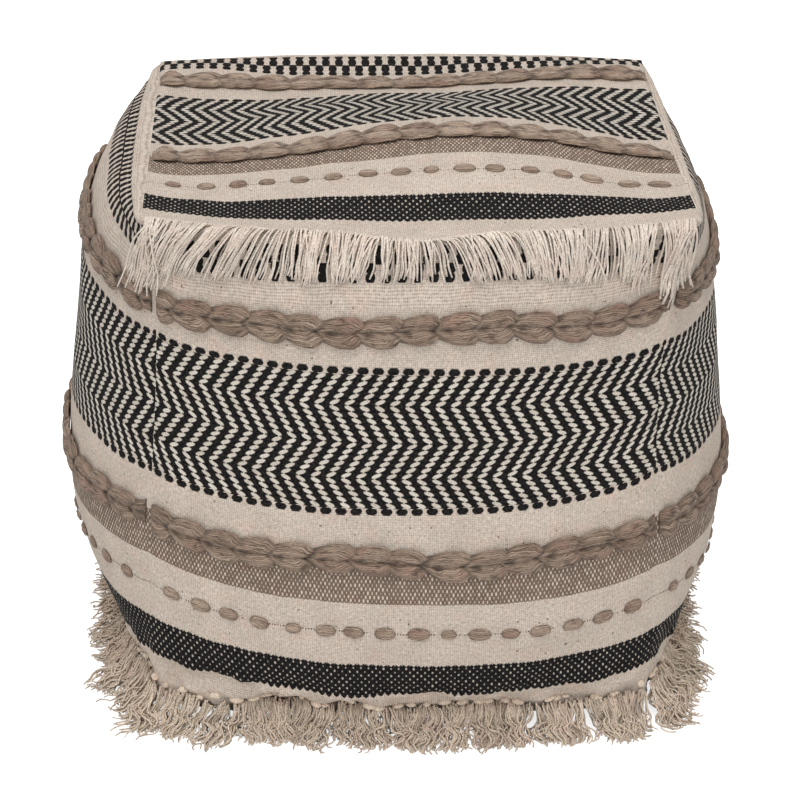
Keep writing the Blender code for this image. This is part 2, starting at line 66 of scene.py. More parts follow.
# Values for the four side panels, in the order of SIDE_NAMES.
SIDE_NAMES = ("front", "right", "back", "left")
OUTWARD = np.array(((0.0, -1.0, 0.0), (1.0, 0.0, 0.0), (0.0, 1.0, 0.0), (-1.0, 0.0, 0.0)))
UPPER_BOW = (-0.006, 0.000, 0.008, 0.000)       # how far the upper edge bows outward
UPPER_SAG = (0.0149, 0.0070, 0.0000, 0.0020)    # how far it sags in its middle
BELLY = (0.037, 0.055, 0.052, 0.0670)           # how far the belly stands out
WIDEST = (0.575, 0.545, 0.550, 0.540)           # where it does, as a share of the way down
SHOULDER_POWER = (2.1, 2.1, 2.5, 3.4)           # powers of the curve above it, inner and outer
SHOULDER_ROUND = (2.0, 1.9, 2.0, 2.7)
HIP_POWER = (4.3, 3.3, 4.0, 2.3)                # power of the curve below it
FOOT_FLARE = (0.0, 0.0, 0.0, 0.0130)            # how far the foot flares
FLOOR_REACH = (0.0245, 0.036, 0.038, 0.038)     # how far the floor fringe reaches

# The roll along the top's back seam: its height, the power of its height along the seam, and the shares
# of the panel over which it rises and fades.
BACK_ROLL = 0.0100
ROLL_ROUND = 0.35
ROLL_END = 0.14
ROLL_FADE = 0.54

# Swells of the top: middle across and toward the back, height, and spread across and along. Places and
# spreads are shares of half the panel.
TOP_SWELLS = (
    (0.30, -0.050, 0.0205, 0.70, 0.55),
    (-0.45, 0.050, 0.0036, 0.50, 0.50),
    (0.10, -0.720, -0.0039, 0.45, 0.35),
    (0.00, 0.750, -0.0077, 0.50, 0.35),
    (-0.75, 0.650, -0.0079, 0.35, 0.35),
    (-0.80, 0.850, 0.0110, 0.20, 0.22),
    (0.80, 0.850, 0.0050, 0.20, 0.22),
)
TOP_DISH = 0.0126         # how far the whole top is dished
TOP = 4

# ---------------------------------------------------------------- sizes of the cloth and its stripes

SIDE_LENGTH = 0.408
TOP_LENGTH = 0.3975
SIDE_START = 0.0215       # cloth above the stripe repeat on a side panel
TOP_START = 0.0125        # the same on the top panel
FRONT_EDGE = 0.0062       # how far the top's cloth reaches down over the front seam at most
HEM = (0.352, 0.378)      # where the hem's creases begin, and where they are full
# Places in the repeat, from its start down to its end.
CHECKS = (-0.0050, 0.0215)
UPPER_PLAIT = 0.0468
CHEVRON = (0.0765, 0.188)
LOWER_PLAIT = 0.2255
TAUPE_BAND = (0.222, 0.2605)
TUFT_ROW = 0.2865
BLACK_BAND = (0.318, 0.3515)
STITCH = 0.0109           # width of one black and one cream stitch
CHEVRON_ROWS = 24

# How the stripes stray from level, by panel: share of the cloth's length, shift, tilt and bow, in metres.
# On the left and the right panel they meet the front's stripes at the corner seams.
STRIPE_DRIFT = (
    ((0.000, -0.0090, -0.0016, 0.0), (0.085, -0.0090, -0.0016, 0.0), (0.130, 0.0, -0.0015, 0.0),
     (0.160, 0.0, -0.0015, 0.0), (0.240, 0.0, 0.0045, 0.0), (0.520, 0.0, 0.0010, 0.0),
     (0.650, 0.0, 0.0055, 0.0), (0.830, 0.0, 0.0070, 0.0), (0.915, -0.0022, 0.0037, 0.0022),
     (1.000, -0.0022, 0.0037, 0.0022)),
    ((0.000, -0.0100, 0.0, 0.0), (0.085, -0.0100, 0.0, 0.0), (0.130, -0.0007, 0.0008, 0.0),
     (0.160, -0.0007, 0.0008, 0.0), (0.240, 0.0023, -0.0022, 0.0), (0.520, 0.0005, -0.0005, 0.0),
     (0.650, 0.0028, -0.0027, 0.0), (0.830, 0.0035, -0.0035, 0.0), (0.915, -0.0004, 0.0003, 0.0),
     (1.000, -0.0004, 0.0003, 0.0)),
    ((0.000, -0.0100, 0.0, 0.0), (0.085, -0.0100, 0.0, 0.0003), (0.130, 0.0, 0.0, 0.0005),
     (0.500, 0.0, 0.0, 0.0020), (1.000, 0.0, 0.0, 0.0)),
    ((0.000, -0.0105, 0.0, 0.0), (0.085, -0.0105, 0.0, 0.0), (0.130, 0.0007, 0.0008, 0.0),
     (0.160, 0.0007, 0.0008, 0.0), (0.240, -0.0023, -0.0022, 0.0), (0.520, -0.0005, -0.0005, 0.0),
     (0.650, -0.0028, -0.0027, 0.0), (0.830, -0.0035, -0.0035, 0.0), (0.915, -0.0040, -0.0041, 0.0),
     (1.000, -0.0040, -0.0041, 0.0)),
    ((0.000, -0.0070, 0.0, 0.0), (0.085, 0.0, -0.0056, 0.0073), (0.250, 0.0, -0.0105, 0.0010),
     (0.500, 0.0, -0.0115, -0.0070), (0.750, 0.0, -0.0030, -0.0100), (1.000, 0.0, -0.0045, 0.0015)),
)


# ---------------------------------------------------------------- small tools

NOISE_GRID = 64           # values each way before the noise repeats


def smooth(low, high, value):
    """0 below low and 1 above high, with the smooth step 3t^2 - 2t^3 between."""
    t = np.clip((value - low) / (high - low), 0, 1)
    return t * t * (3 - 2 * t)


def soft_noise(x, y, seed):
    """Smooth random height from -1 to 1: seeded values on a grid one unit apart, joined by smooth steps."""
    values = np.random.default_rng(seed).uniform(-1, 1, (NOISE_GRID, NOISE_GRID))
    x, y = np.broadcast_arrays(np.asarray(x, float), np.asarray(y, float))
    column = np.floor(x).astype(int)
    row = np.floor(y).astype(int)
    across = smooth(0, 1, x - column)
    down = smooth(0, 1, y - row)
    column, right = column % NOISE_GRID, (column + 1) % NOISE_GRID
    row, below = row % NOISE_GRID, (row + 1) % NOISE_GRID
    upper = values[row, column] * (1 - across) + values[row, right] * across
    lower = values[below, column] * (1 - across) + values[below, right] * across
    return upper * (1 - down) + lower * down


def unit(vectors):
    """The vectors at length one."""
    return vectors / np.maximum(np.linalg.norm(vectors, axis=-1, keepdims=True), 1e-12)


# ---------------------------------------------------------------- the surface of the filled cube


def groove_at(v):
    """Depth of a seam's groove: the square root of a sine, nil at the seam's two ends."""
    return SEAM_GROOVE * np.sqrt(np.clip(np.sin(math.pi * v), 0, 1))


def seam_point(corner, v):
    """A corner seam: a parabola through top, waist and foot, swayed in above the waist and out below it
    by a cubic, ten times which peaks at about one, and drawn in by the seam's groove."""
    top = np.array(TOP_CORNERS[corner])
    side_x, side_y = np.sign(top[0]), np.sign(top[1])
    waist = np.array((side_x * SEAM_WAIST, side_y * SEAM_WAIST, 0.5 * (top[2] + FOOT_HEIGHT)))
    foot = np.array((side_x * SEAM_FOOT, side_y * SEAM_FOOT, FOOT_HEIGHT))
    v = np.asarray(v, float)[..., None]
    curve = top * (1 - v) * (1 - 2 * v) + waist * 4 * v * (1 - v) + foot * v * (2 * v - 1)
    sway = 10.0 * SEAM_SWAY * v * (1 - v) * (1 - 2 * v) + groove_at(v)
    return curve - np.array((side_x, side_y, 0.0)) * sway


def side_point(side, u, v):
    """A side panel: the straight line between its seams, plus outward times a bulge 1 - |u|^p that over
    the height rises from the upper bow to the belly and falls to the foot, which may flare by v^4. The
    seam's groove fades away from the seams by an exponential, and the upper edge sags by (1 - v)^2."""
    u, v = np.broadcast_arrays(np.asarray(u, float), np.asarray(v, float))
    across = 1 - np.abs(u) ** ACROSS_POWER
    above = 1 - np.clip((WIDEST[side] - v) / WIDEST[side], 0, 1) ** SHOULDER_POWER[side]
    above = above ** (1 / SHOULDER_ROUND[side])
    below = 1 - np.clip((v - WIDEST[side]) / (1 - WIDEST[side]), 0, 1) ** HIP_POWER[side]
    foot = FOOT_BOW * v + FOOT_FLARE[side] * v ** 4
    swell = UPPER_BOW[side] * (1 - v) + foot + BELLY[side] * np.minimum(above, below)
    recover = 1 - np.exp(-(1 - np.abs(u)) * SEAM_WAIST / SEAM_GROOVE_WIDTH)
    swell = swell * across + recover * groove_at(v)
    point = seam_point(side, v) * (1 - u[..., None]) / 2
    point = point + seam_point((side + 1) % 4, v) * (1 + u[..., None]) / 2
    point = point + OUTWARD[side] * swell[..., None]
    point[..., 2] -= UPPER_SAG[side] * across * (1 - v) ** 2
    return point


def top_point(u, v):
    """The top panel: a bilinear patch between its corners, bowed with the edges by |u|^3 and sagged with
    them by |u|^4, with a quarter round roll along its back, dished inside the seams by 1 - |u|^6, and
    raised by bell curves."""
    u, v = np.broadcast_arrays(np.asarray(u, float), np.asarray(v, float))
    w = 2 * v - 1
    front_left, front_right, back_right, back_left = (np.array(c) for c in TOP_CORNERS)
    right, front = ((1 + u) / 2)[..., None], v[..., None]
    point = (front_left * (1 - right) + front_right * right) * front
    point = point + (back_left * (1 - right) + back_right * right) * (1 - front)
    across_u = np.maximum(1 - np.abs(u) ** ACROSS_POWER, 0)
    across_w = np.maximum(1 - np.abs(w) ** ACROSS_POWER, 0)
    point[..., 0] += np.where(u > 0, UPPER_BOW[1], -UPPER_BOW[3]) * across_w * np.abs(u) ** 3
    point[..., 1] += np.where(w > 0, -UPPER_BOW[0], UPPER_BOW[2]) * across_u * np.abs(w) ** 3
    side_sag = np.where(u > 0, UPPER_SAG[1], UPPER_SAG[3])
    end_sag = np.where(w > 0, UPPER_SAG[0], UPPER_SAG[2])
    point[..., 2] -= end_sag * np.abs(w) ** 4 * across_u + side_sag * np.abs(u) ** 4 * across_w
    roll = np.sqrt(1 - (1 - np.clip(v / ROLL_END, 0, 1)) ** 2) * (1 - smooth(ROLL_END, ROLL_FADE, v))
    point[..., 2] += BACK_ROLL * across_u ** ROLL_ROUND * roll
    point[..., 2] -= TOP_DISH * (1 - np.abs(u) ** 6) * (1 - np.abs(w) ** 5)
    inside = (1 - u ** 4) * (1 - w ** 6)
    for middle_x, middle_y, height, spread_x, spread_y in TOP_SWELLS:
        bell = np.exp(-((u - middle_x) / spread_x) ** 2 - ((w + middle_y) / spread_y) ** 2)
        point[..., 2] += height * bell * inside
    return point


def panel_point(side, u, v):
    """A point of side 0 to 3 or of the top, 4, at the shares u across and v down."""
    return top_point(u, v) if side == TOP else side_point(side, u, v)


def length_of(side):
    """The length of a panel's cloth."""
    return TOP_LENGTH if side == TOP else SIDE_LENGTH


def start_of(side):
    """The cloth above a panel's stripe repeat."""
    return TOP_START if side == TOP else SIDE_START


# The tables' lines across a panel, their steps of cloth down it, and the shares v at which a line's
# length is summed.
TABLE_U = np.linspace(-1, 1, 121)
TABLE_S = np.linspace(0, 1, 201)
TABLE_V = np.linspace(0, 1, 241)
WIDTH_LINE = 0.45         # share of the way down at which widths of cloth are measured


def share_table(side):
    """The share v at equal steps of cloth, for lines down the panel: each line's running length, read
    backwards by interpolation."""
    line = panel_point(side, TABLE_U[:, None], TABLE_V[None, :])
    run = np.cumsum(np.linalg.norm(np.diff(line, axis=1), axis=2), axis=1)
    run = np.concatenate((np.zeros((len(TABLE_U), 1)), run), axis=1)
    return np.stack([np.interp(TABLE_S * one[-1], one, TABLE_V) for one in run])


def width_table(side):
    """The signed length of cloth from the middle of the panel to each line."""
    points = panel_point(side, TABLE_U, np.full(TABLE_U.shape, WIDTH_LINE))
    run = np.concatenate(([0.0], np.cumsum(np.linalg.norm(np.diff(points, axis=0), axis=1))))
    return run - np.interp(0.0, TABLE_U, run)


SHARES = [share_table(side) for side in range(TOP + 1)]
WIDTHS = [width_table(side) for side in range(TOP + 1)]


def share_at(side, u, s):
    """The share v at (u, s), read between the four nearest entries of the panel's table."""
    u, s = np.broadcast_arrays(np.asarray(u, float), np.asarray(s, float))
    x = np.clip((u + 1) / 2, 0, 1) * (len(TABLE_U) - 1)
    y = np.clip(s / length_of(side), 0, 1) * (len(TABLE_S) - 1)
    column = np.minimum(x.astype(int), len(TABLE_U) - 2)
    row = np.minimum(y.astype(int), len(TABLE_S) - 2)
    across, down = x - column, y - row
    table = SHARES[side]
    left = table[column, row] * (1 - down) + table[column, row + 1] * down
    right = table[column + 1, row] * (1 - down) + table[column + 1, row + 1] * down
    return left * (1 - across) + right * across


def width_at(side, u):
    """The length of cloth from the panel's middle to the line u."""
    return np.interp(u, TABLE_U, WIDTHS[side])


def line_at(side, width):
    """The line u at that length of cloth from the panel's middle."""
    return np.interp(width, WIDTHS[side], TABLE_U)


def drift(side, u, s):
    """How far down the stripes lie from their even place: on each panel they shift, tilt and bow by
    amounts that change down the cloth."""
    place, shift, tilt, bow = np.array(STRIPE_DRIFT[side]).T
    share = s / length_of(side)
    level = np.interp(share, place, shift) + np.interp(share, place, tilt) * u
    return level + np.interp(share, place, bow) * (1 - 2 * u * u)


def front_edge(u):
    """How far the top cloth reaches down over the front seam: a bell curve, most in the middle."""
    return FRONT_EDGE * np.exp(-((u + 0.03) / 0.17) ** 2)


def relief(side, u, s):
    """Height of the cloth over the even surface, in metres: soft lumps of the filling, puckers that fade
    away from the seams, creases of the hem and a ridge under the top's seam, which on the front is the
    end of the top's cloth. On the cover's own lines it is nil along every seam, so that panels meet."""
    length = length_of(side)
    x = width_at(side, u) + 3.1 * side
    beside = (1 - np.abs(u)) * SEAM_WAIST
    above = np.minimum(s, length - s) if side == TOP else s
    inside = smooth(0, 0.012, np.minimum(beside, np.maximum(above, 0)))
    lumps = 0.0012 * soft_noise(x / 0.055, s / 0.05, 3) + 0.0007 * soft_noise(x / 0.024, s / 0.022, 5)
    puckers = 0.0012 * np.exp(-beside / 0.016) * soft_noise(x / 0.03, s / 0.009, 8)
    puckers += 0.0010 * np.exp(-above / 0.014) * soft_noise(x / 0.010, s / 0.03, 9)
    if side == TOP:
        return (lumps + puckers) * inside
    edge = front_edge(u)
    over = 0.0016 * smooth(0, 0.0025, s) * smooth(edge + 0.0016, edge, s) if side == 0 else 0.0
    crumple = 0.0030 + 0.0035 * smooth(0.1, -0.6, u) if side == 0 else 0.0040
    hem = crumple * soft_noise(x / 0.020, s / 0.013, 12) + 0.0020 * soft_noise(x / 0.008, s / 0.006, 13)
    ridge = np.sin(math.pi * np.clip(s / 0.0080, 0, 1)) * smooth(0, 0.010, beside)
    ridge = 0.0 if side == 0 else 0.0024 * ridge
    return (lumps + puckers + smooth(*HEM, s) * hem) * inside + ridge + over


def cloth(side, u, s, lift=0.0):
    """Points over the cloth at (u, s): the panel's point plus its outward normal times relief and lift."""
    u, s, lift = np.broadcast_arrays(np.asarray(u, float), np.asarray(s, float), np.asarray(lift, float))
    v = share_at(side, u, s)
    step = 1e-3
    along_u = panel_point(side, u + step, v) - panel_point(side, u - step, v)
    along_v = panel_point(side, u, v + step) - panel_point(side, u, v - step)
    normal = unit(np.cross(along_v, along_u))
    return panel_point(side, u, v) + normal * (relief(side, u, s) + lift)[..., None] + CENTRE


def foot_middle():
    """Where the filled cube's base is centred in the frame: the middle of its points on the floor."""
    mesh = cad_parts["body"].data
    points = np.empty(len(mesh.vertices) * 3)
    mesh.vertices.foreach_get("co", points)
    points = points.reshape(-1, 3)
    points = points[points[:, 2] < 1e-4]
    middle = 0.5 * (points.min(axis=0) + points.max(axis=0))
    return np.array((middle[0], middle[1], 0.0))


CENTRE = foot_middle()


# ---------------------------------------------------------------- making pieces


def put(name, data):
    """A new object that holds the data, linked into the scene."""
    item = bpy.data.objects.new(name, data)
    bpy.context.scene.collection.objects.link(item)
    return item


def new_piece(name, points, faces, corner_uv, material, **values):
    """A smooth-shaded mesh object from points, faces and one map place for every face corner, in the
    order of the faces. Each further value is an attribute with one number for every point."""
    mesh = bpy.data.meshes.new(name)
    mesh.from_pydata(points.tolist(), [], faces)
    layer = mesh.uv_layers.new(name="weave")
    layer.data.foreach_set("uv", np.ascontiguousarray(corner_uv, dtype=np.float32).ravel())
    for label, numbers in values.items():
        numbers = np.ascontiguousarray(np.broadcast_to(numbers, (len(points),)), dtype=np.float32)
        mesh.attributes.new(label, "FLOAT", "POINT").data.foreach_set("value", numbers)
    mesh.shade_smooth()
    mesh.materials.append(material)
    return put(name, mesh)


def place(piece, slot, *nodes):
    """Fix a piece to the part and let it stand for its solids."""
    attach(piece, "root")
    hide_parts(*nodes)
    return piece


def grid_faces(rows, columns, first=0):
    """The faces of a grid of points in row order: upper left, lower left, lower right, upper right."""
    a = first + np.arange(rows - 1)[:, None] * columns + np.arange(columns - 1)[None, :]
    return np.stack((a, a + columns, a + columns + 1, a + 1), axis=-1).reshape(-1, 4)


def tubes(rings, along, tone, deep=0.0):
    """Points, faces, map places, tones and painted shade of closed tubes. rings is (tube, step, side, 3),
    along the length of yarn at each (tube, step), tone one number for every tube, and deep, how
    much painted shade darkens the yarn, one for every ring or for every point."""
    count, steps, sides = rings.shape[:3]
    first = (np.arange(count) * steps * sides)[:, None, None]
    step = np.arange(steps - 1)[None, :, None] * sides
    side = np.arange(sides)[None, None, :]
    following = (side + 1) % sides
    a, b = first + step + side, first + step + following
    quads = np.stack((a, b, b + sides, a + sides), axis=-1).reshape(-1, 4)
    turn, next_turn = side / sides, (side + 1) / sides
    here = np.broadcast_to(along[:, :-1, None], a.shape)
    there = np.broadcast_to(along[:, 1:, None], a.shape)
    turn, next_turn = np.broadcast_to(turn, a.shape), np.broadcast_to(next_turn, a.shape)
    places = np.stack((here, turn, here, next_turn, there, next_turn, there, turn), axis=-1).reshape(-1, 2)
    start = first[:, 0] + np.arange(sides)[None, ::-1]
    end = first[:, 0] + (steps - 1) * sides + np.arange(sides)[None, :]
    caps = np.concatenate((start, end))
    cap_along = np.repeat(np.concatenate((along[:, 0], along[:, -1])), sides)
    cap_turn = np.tile(np.linspace(0, 1, sides), 2 * count)
    places = np.concatenate((places, np.stack((cap_along, cap_turn), axis=-1)))
    faces = quads.tolist() + caps.tolist()
    deep = np.broadcast_to(deep, rings.shape[:3]).ravel()
    return rings.reshape(-1, 3), faces, places, np.repeat(tone, steps * sides), deep


def piece_of(name, parts, material):
    """One piece from several sets of tubes."""
    faces, first = [], 0
    for part in parts:
        faces += [[corner + first for corner in face] for face in part[1]]
        first += len(part[0])
    points, places, tone, deep = (np.concatenate([part[k] for part in parts]) for k in (0, 2, 3, 4))
    return new_piece(name, points, faces, places, material, tone=tone, deep=deep)


def yarn_rings(paths, radius, sides, upward):
    """Rings of yarns along paths (yarn, step, 3): a circle of the given radius (yarn, step) square to
    the path, with one point toward upward (yarn, step, 3) square to the path and one point aside."""
    tangent = unit(np.gradient(paths, axis=1))
    sideways = unit(np.cross(tangent, upward))
    raised = np.cross(sideways, tangent)
    angle = np.linspace(0, 2 * math.pi, sides, endpoint=False)[None, None, :, None]
    circle = sideways[:, :, None] * np.cos(angle) + raised[:, :, None] * np.sin(angle)
    return paths[:, :, None] + circle * radius[:, :, None, None]


def run_of(paths, rng):
    """The running length of yarn at each step, begun at a random place."""
    run = np.cumsum(np.linalg.norm(np.diff(paths, axis=1), axis=2), axis=1)
    return np.concatenate((np.zeros((len(paths), 1)), run), axis=1) + rng.uniform(0, 1, (len(paths), 1))


# ---------------------------------------------------------------- shader wiring


class Wiring:
    """Adds nodes to one tree. Any value may be a number, a colour or another node's output."""

    def __init__(self, tree):
        """Keep the tree that the nodes go into."""
        self.tree = tree

    def feed(self, socket, value):
        """Link the output to the socket, or set the socket to the value."""
        if isinstance(value, bpy.types.NodeSocket):
            self.tree.links.new(value, socket)
        else:
            socket.default_value = value

    def add(self, kind, values, **settings):
        """A new node of a kind, with its settings made and its values fed in."""
        node = self.tree.nodes.new(kind)
        for name, setting in settings.items():
            setattr(node, name, setting)
        for key, value in values.items():
            self.feed(node.inputs[key], value)
        return node

    def calc(self, operation, *values):
        """What a math node makes of the values."""
        return self.add("ShaderNodeMath", dict(enumerate(values)), operation=operation).outputs[0]

    def plus(self, a, b):
        """a + b."""
        return self.calc("ADD", a, b)

    def minus(self, a, b):
        """a - b."""
        return self.calc("SUBTRACT", a, b)

    def times(self, a, b):
        """a times b."""
        return self.calc("MULTIPLY", a, b)

    def over(self, a, b):
        """a divided by b."""
        return self.calc("DIVIDE", a, b)

    def power(self, a, b):
        """a to the power b."""
        return self.calc("POWER", a, b)

    def most(self, a, b):
        """The larger of a and b."""
        return self.calc("MAXIMUM", a, b)

    def times_plus(self, a, b, c):
        """a times b, plus c."""
        return self.calc("MULTIPLY_ADD", a, b, c)

    def floor(self, value):
        """The whole number at or below the value."""
        return self.calc("FLOOR", value)

    def from_middle(self, value, size):
        """The fraction of a number less one half, times the size of its cell."""
        return self.times(self.minus(self.calc("FRACT", value), 0.5), size)

    def zigzag(self, value):
        """A zigzag that is 0 at whole numbers and 0.5 halfway between them."""
        return self.calc("PINGPONG", value, 0.5)

    def scale(self, value, low, high, start, end, **settings):
        """From start at low to end at high, in a straight line."""
        values = {"Value": value, "From Min": low, "From Max": high, "To Min": start, "To Max": end}
        return self.add("ShaderNodeMapRange", values, **settings).outputs[0]

    def step(self, value, low, high, start=0.0, end=1.0):
        """From start at low to end at high, in a smooth step."""
        return self.scale(value, low, high, start, end, interpolation_type="SMOOTHSTEP")

    def mix(self, factor, under, over, blend="MIX"):
        """From the colour under to the colour over by the factor, or blended as blend says."""
        node = self.tree.nodes.new("ShaderNodeMix")
        node.data_type = "RGBA"
        node.blend_type = blend
        self.feed(node.inputs[0], factor)
        self.feed(node.inputs[6], under)
        self.feed(node.inputs[7], over)
        return node.outputs[2]

    def dim(self, color, gain):
        """A colour times a number."""
        shade = self.add("ShaderNodeCombineXYZ", {"X": gain, "Y": gain, "Z": gain}).outputs[0]
        return self.mix(1.0, color, shade, "MULTIPLY")

    def noise(self, vector, scale, detail=2.0, roughness=0.5):
        """Smooth noise from about 0 to 1, with scale waves to each unit of the vector."""
        values = {"Vector": vector, "Scale": scale, "Detail": detail, "Roughness": roughness}
        return self.add("ShaderNodeTexNoise", values).outputs["Fac"]

    def random(self, x, y):
        """A fixed random number from 0 to 1 for each pair of whole numbers."""
        pair = self.add("ShaderNodeCombineXYZ", {"X": x, "Y": y}).outputs[0]
        return self.add("ShaderNodeTexWhiteNoise", {"Vector": pair}, noise_dimensions="2D").outputs["Value"]

    def bump(self, height, distance, strength):
        """A normal tilted by the slope of the height."""
        values = {"Height": height, "Distance": distance, "Strength": strength}
        return self.add("ShaderNodeBump", values).outputs[0]

    def attribute(self, name):
        """A number that the mesh holds for each of its points."""
        return self.add("ShaderNodeAttribute", {}, attribute_name=name).outputs["Fac"]

    def map_place(self):
        """The place on the piece's own map, whole and as x and y."""
        flat = self.add("ShaderNodeUVMap", {}, uv_map="weave").outputs[0]
        split = self.add("ShaderNodeSeparateXYZ", {"Vector": flat}).outputs
        return flat, split["X"], split["Y"]

    def use(self, group, **values):
        """Place a group in the tree."""
        node = self.tree.nodes.new("ShaderNodeGroup")
        node.node_tree = group
        for key, value in values.items():
            self.feed(node.inputs[key], value)
        return node.outputs


def new_group(name, inputs, outputs):
    """An empty node group with the named inputs (name, kind, value) and outputs (name, kind)."""
    group = bpy.data.node_groups.new(name, "ShaderNodeTree")
    for label, kind, value in inputs:
        socket = group.interface.new_socket(name=label, in_out="INPUT", socket_type="NodeSocket" + kind)
        if value is not None:
            socket.default_value = value
    for label, kind in outputs:
        group.interface.new_socket(name=label, in_out="OUTPUT", socket_type="NodeSocket" + kind)
    source = group.nodes.new("NodeGroupInput")
    target = group.nodes.new("NodeGroupOutput")
    return group, Wiring(group), source.outputs, target.inputs


def cotton_tone_group():
    """Uneven cotton: the colour is darkened and lightened by fine and broad noise, and turns a little
    toward pink in places."""
    inputs = (("Vector", "Vector", None), ("Color", "Color", (0.5, 0.5, 0.5, 1)), ("Fine", "Float", 900.0),
              ("Uneven", "Float", 0.12), ("Pink", "Float", 0.1))
    group, wire, given, result = new_group("cotton_tone", inputs, (("Color", "Color"),))
    fine = wire.noise(given["Vector"], given["Fine"], 2.0, 0.6)
    broad = wire.noise(given["Vector"], 38.0, 2.0)
    swing = wire.plus(wire.minus(fine, 0.5), wire.times(wire.minus(broad, 0.5), 0.5))
    gain = wire.times_plus(wire.times(swing, given["Uneven"]), 4.0, 1.0)
    color = wire.dim(given["Color"], gain)
    blush = wire.step(wire.noise(given["Vector"], 60.0, 1.0), 0.52, 0.72)
    pink = wire.mix(1.0, color, (1.07, 0.94, 0.93, 1), "MULTIPLY")
    wire.feed(result["Color"], wire.mix(wire.times(blush, given["Pink"]), color, pink))
    return group


def fibre_group():
    """Yarns side by side, or fibres wound round one yarn, from the map's length and turn. Out come a
    height that is lowest between two yarns and in streaks, a shade that is dark there, and a number for
    each yarn. The streaks run with the yarns."""
    inputs = (("Along", "Float", 0.0), ("Around", "Float", 0.0), ("Twist", "Float", 0.0),
              ("Count", "Float", 8.0), ("Dark", "Float", 0.6), ("Streak", "Float", 0.0),
              ("Vector", "Vector", None))
    outputs = (("Height", "Float"), ("Shade", "Float"), ("Yarn", "Float"))
    group, wire, given, result = new_group("yarn_fibres", inputs, outputs)
    turn = wire.times_plus(given["Along"], given["Twist"], given["Around"])
    wobble = wire.times(wire.minus(wire.noise(given["Vector"], 140.0, 2.5), 0.5), 2.9)
    ridge = wire.plus(wire.times(turn, given["Count"]), wobble)
    height = wire.step(wire.zigzag(ridge), 0.0, 0.36)
    fine = wire.step(wire.zigzag(wire.times(ridge, 2.0)), 0.0, 0.4)
    depth = wire.step(wire.noise(given["Vector"], 90.0, 1.0), 0.35, 0.62)
    shade = wire.scale(height, 0.0, 1.0, given["Dark"], 1.0)
    shade = wire.times(shade, wire.scale(fine, 0.0, 1.0, wire.scale(depth, 0.0, 1.0, 1.0, 0.82), 1.0))
    drawn_out = {"X": wire.times(ridge, 0.8), "Y": wire.times(given["Along"], 85.0)}
    run = wire.add("ShaderNodeCombineXYZ", drawn_out)
    streak = wire.step(wire.noise(run.outputs[0], 1.0, 2.5, 0.65), 0.50, 0.36, 0.0, given["Streak"])
    wire.feed(result["Height"], wire.times_plus(fine, 0.3, wire.minus(height, streak)))
    wire.feed(result["Shade"], wire.times(shade, wire.minus(1.0, streak)))
    wire.feed(result["Yarn"], wire.floor(ridge))
    return group


COTTON_TONE = cotton_tone_group()
FIBRES = fibre_group()


def new_material(name, roughness, sheen):
    """A matt material with its wiring and its shader."""
    material = bpy.data.materials.new(name)
    material.use_nodes = True
    shader = material.node_tree.nodes["Principled BSDF"]
    shader.inputs["Roughness"].default_value = roughness
    shader.inputs["Sheen Weight"].default_value = sheen
    shader.inputs["Sheen Roughness"].default_value = 0.5
    shader.inputs["Specular IOR Level"].default_value = 0.15
    return material, Wiring(material.node_tree), shader


def ellipse(wire, x, y, half_x, half_y, soft):
    """1 inside an ellipse round the middle and 0 outside it, with a soft rim."""
    a = wire.power(wire.over(x, half_x), 2.0)
    b = wire.power(wire.over(y, half_y), 2.0)
    return wire.step(wire.plus(a, b), 1 + soft, 1 - soft)


def between(wire, value, low, high, soft=0.0003):
    """1 between low and high and 0 outside them."""
    rise = wire.step(value, low - soft, low + soft)
    fall = wire.step(value, high + soft, high - soft)
    return wire.times(rise, fall)


# ---------------------------------------------------------------- the striped cloth

WARP_PITCH = 0.00150      # between the threads that run down a panel
WEFT_PITCH = 0.00130      # between those that run across it
HOLE_PITCH = 0.0020       # between the holes that the tuft yarns are drawn through
LEG_ROWS = 6              # rows before the chevron turns back

CREAM = (0.672, 0.583, 0.500, 1)
# painted shade of the cream weave, where it lies low
CREAM_PAINTED_SHADE = (0.34, 0.27, 0.21, 1)
# painted shade in the pinholes of the weave
PINHOLE_SHADE = (0.13, 0.095, 0.07, 1)
FLECK = (0.10, 0.07, 0.05, 1)
TAUPE = (0.262, 0.190, 0.145, 1)
# painted shade of the taupe band, between its beads and where it lies low
TAUPE_PAINTED_SHADE = (0.10, 0.070, 0.052, 1)
TAUPE_SPECK = (0.72, 0.61, 0.51, 1)
BLACKS = ((0.003, 0.003, 0.004, 1), (0.026, 0.023, 0.021, 1))
BLACK_SPECK = (0.56, 0.50, 0.43, 1)
LEAVES = ((0.60, 0.54, 0.46, 1), (0.72, 0.66, 0.58, 1))
# painted shade of the leaves, where they lie low
LEAF_PAINTED_SHADE = (0.30, 0.25, 0.20, 1)
# painted shade in the small holes along the tufts
TUFT_HOLE_SHADE = (0.06, 0.040, 0.03, 1)

# The two bands: upper and lower edge, width and height of a bead, half the width and half the height of a
# speck, depth of the scallops, and how far the lower edge wanders.
BLACK_BEADS = (*BLACK_BAND, 0.5 * STITCH, 0.0040, 0.00062, 0.00115, 0.0028, 0.0035)
TAUPE_BEADS = (*TAUPE_BAND, 0.28 * STITCH, 0.0032, 0.00058, 0.00130, 0.0008, 0.001)


